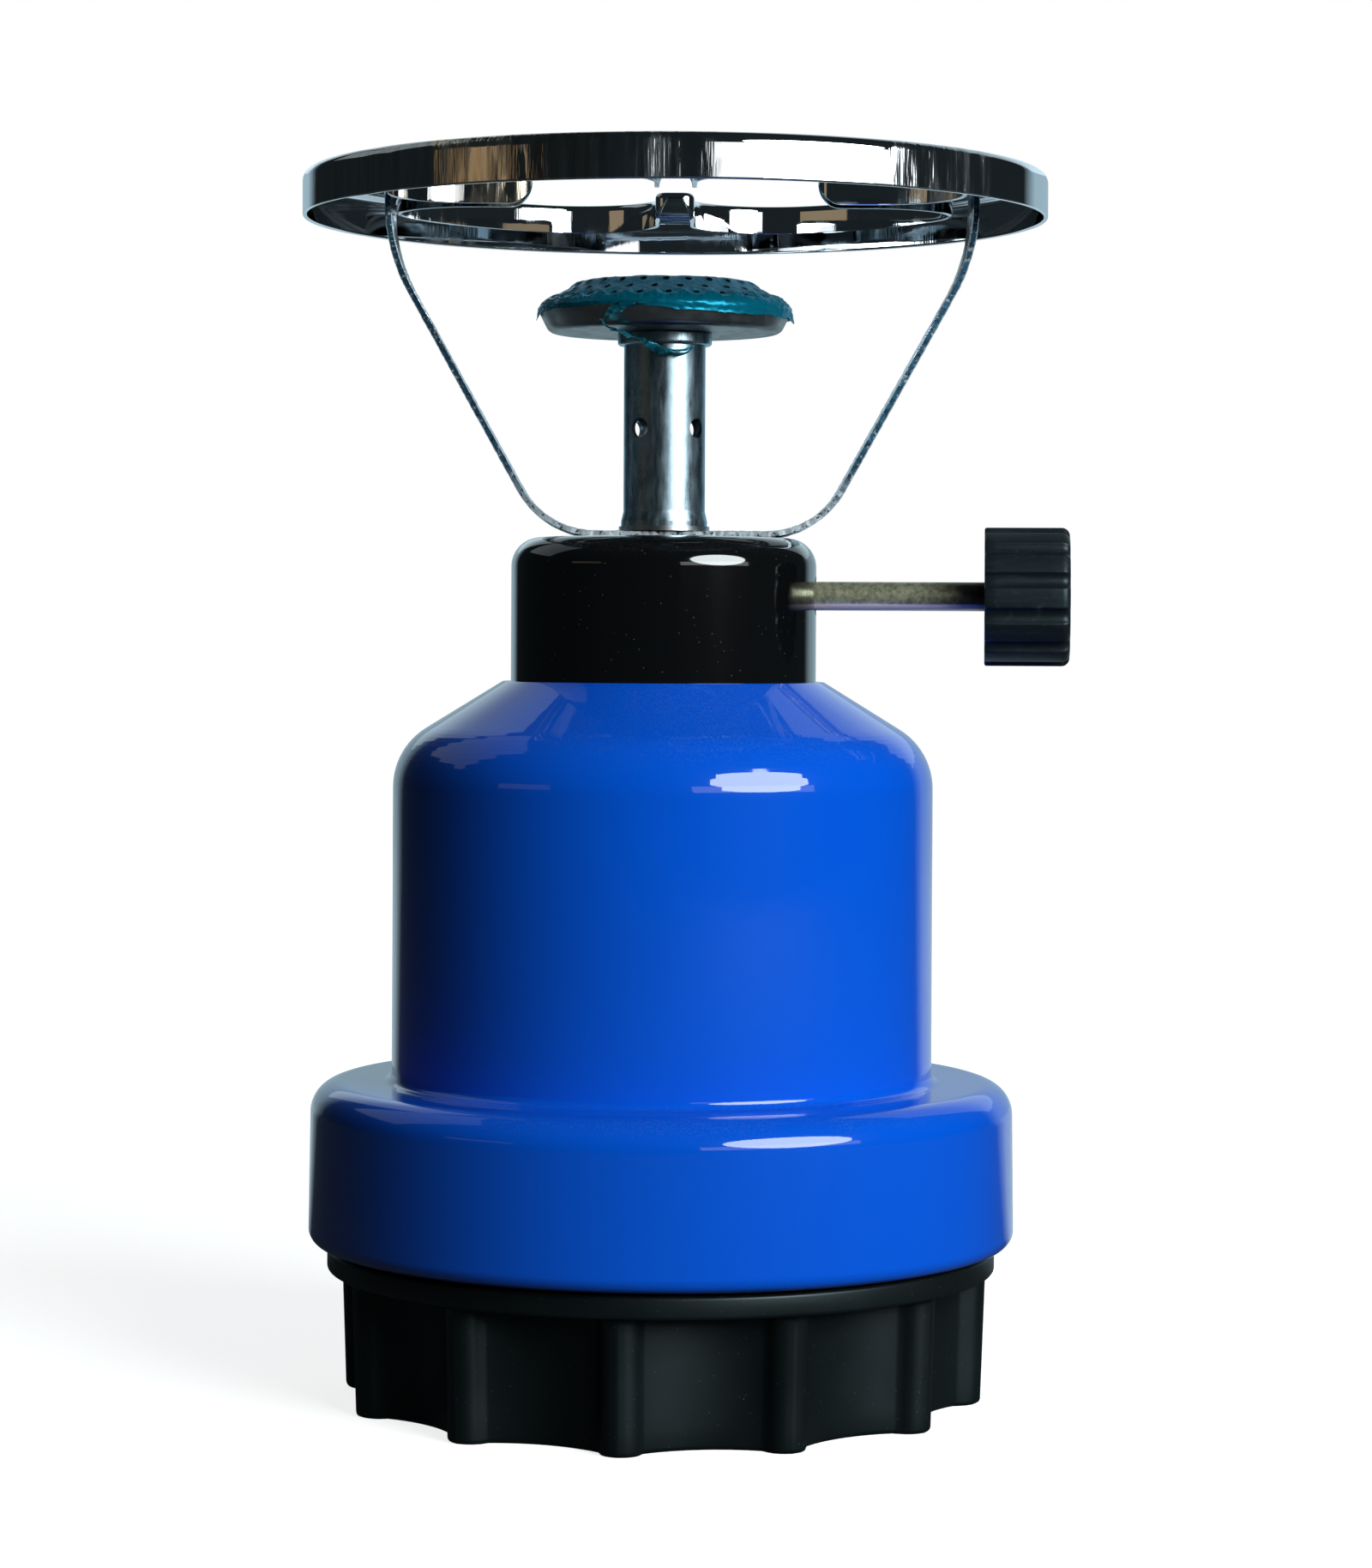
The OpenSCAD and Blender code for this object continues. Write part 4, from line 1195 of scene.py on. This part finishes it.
def behind_share(nodes, vector, dim, low, high):
    """How bright a mirror sees the room in a direction: as the backdrop behind the object, dim beside
    it, and fading upward between low and high, as the direction's Z."""
    a = math.radians(BACKDROP_AZIMUTH) + VIEW_TURN
    behind = (math.sin(a), -math.cos(a), 0)
    away = nodes.node("VectorMath", {0: vector, 1: behind}, operation="DOT_PRODUCT")["Value"]
    fade = nodes.ramp(nodes.part(vector, "Z"), low, high, 1.0, 0.15)
    return nodes.ramp(nodes.times(nodes.ramp(away, 0.75, 0.86), fade), 0, 1, dim, BACKDROP)


def seen_share(nodes, mirrored_share):
    """1 for the camera, and the given share for mirrored and refracted rays."""
    path = nodes.node("LightPath")
    through = nodes.math("MAXIMUM", path["Is Glossy Ray"], path["Is Transmission Ray"])
    return nodes.math("MAXIMUM", path["Is Camera Ray"], nodes.times(through, mirrored_share))


def room_color(nodes):
    """White to the camera, and a pale blue to a mirror."""
    return nodes.mix("RGBA", MIRRORED_TINT, WHITE, nodes.node("LightPath")["Is Camera Ray"])


def floor_material():
    """Pale floor: white to the camera but for shadows, and dark to the light that it throws back."""
    material = bpy.data.materials.new("floor")
    material.use_nodes = True
    nodes = Nodes(material.node_tree)
    nodes.tree.nodes.remove(nodes.tree.nodes["Principled BSDF"])
    place = nodes.node("TexCoord")["Object"]
    direction = nodes.node("VectorMath", {0: place}, operation="NORMALIZE")["Vector"]
    distance = nodes.node("VectorMath", {0: place}, operation="LENGTH")["Value"]
    seen = seen_share(nodes, behind_share(nodes, direction, FLOOR_DIM, 0.5, 1.0))
    strength = nodes.times(seen, nodes.ramp(distance, 0.3, 0.9, 0.82, 1.0))
    glow = nodes.node("Emission", {"Color": room_color(nodes), "Strength": strength})["Emission"]
    matte = nodes.node("BsdfDiffuse", {"Color": nodes.ramp(seen, 0, 1, 0.04, 0.85)})["BSDF"]
    both = nodes.node("AddShader", {0: glow, 1: matte})["Shader"]
    nodes.plug(nodes.tree.nodes["Material Output"].inputs["Surface"], both)
    return material


def add_stage():
    """A plain pale floor."""
    mesh = grid_mesh("floor_body", [circle(r, 0, 96) for r in (0.01, 200, 800, 3000)], "open")
    mesh.materials.append(floor_material())
    stage = link("floor", mesh)


def add_area(name, azimuth, elevation, distance, width, height, power, color=(1, 1, 1), shape="RECTANGLE"):
    """A soft lamp at an azimuth right of the camera's side and an elevation, seen from the object."""
    centre = Vector((0, 0, 0.12))
    a, e = math.radians(azimuth) + VIEW_TURN, math.radians(elevation)
    away = Vector((math.cos(e) * math.sin(a), -math.cos(e) * math.cos(a), math.sin(e)))
    data = bpy.data.lights.new(name, "AREA")
    data.shape = shape
    data.size, data.size_y = width, height
    data.energy = power
    data.color = color
    lamp = link(name, data)
    lamp.location = centre + away * distance
    lamp.rotation_euler = (-away).to_track_quat("-Z", "Y").to_euler()
    lamp.visible_camera = False


def add_lamps():
    add_area("key", 42.5, 20.5, 1.3, 1.0, 0.78, 18.5, (0.9, 0.98, 1.0), "ELLIPSE")
    add_area("key_low", 39, 8.8, 1.3, 1.3, 0.24, 1.2)
    add_area("warm", -60, 10.1, 1.4, 0.61, 0.1, 0.05, (1.0, 0.72, 0.42))
    add_area("back", 172, 33, 1.5, 2.0, 1.1, 2.8, (0.8, 0.95, 1.0))
    add_area("side", -118, 40, 1.5, 0.9, 0.9, 0.7, (0.85, 0.95, 1.0))


def add_world():
    """White to the camera; to a mirror only behind the object."""
    world = bpy.data.worlds.new("studio")
    bpy.context.scene.world = world
    world.use_nodes = True
    nodes = Nodes(world.node_tree)
    direction = nodes.node("TexCoord")["Generated"]
    seen = seen_share(nodes, behind_share(nodes, direction, ROOM_DIM, 0.25, 0.6))
    background = world.node_tree.nodes["Background"]
    nodes.plug(background.inputs["Color"], room_color(nodes))
    nodes.plug(background.inputs["Strength"], nodes.ramp(seen, 0, 1, 0.006, 1.0))


def main():
    add_camera()
    dress_cad_nodes()
    for build in (base_cup, body_shell, collar, knob, burner_tube, neck_ring, burner_cup, burner_cap,
                  cap_film, film_strands, support_strip, pan_ring, add_stage, add_lamps, add_world):
        build()
    bpy.context.scene.view_settings.view_transform = "Standard"


main()
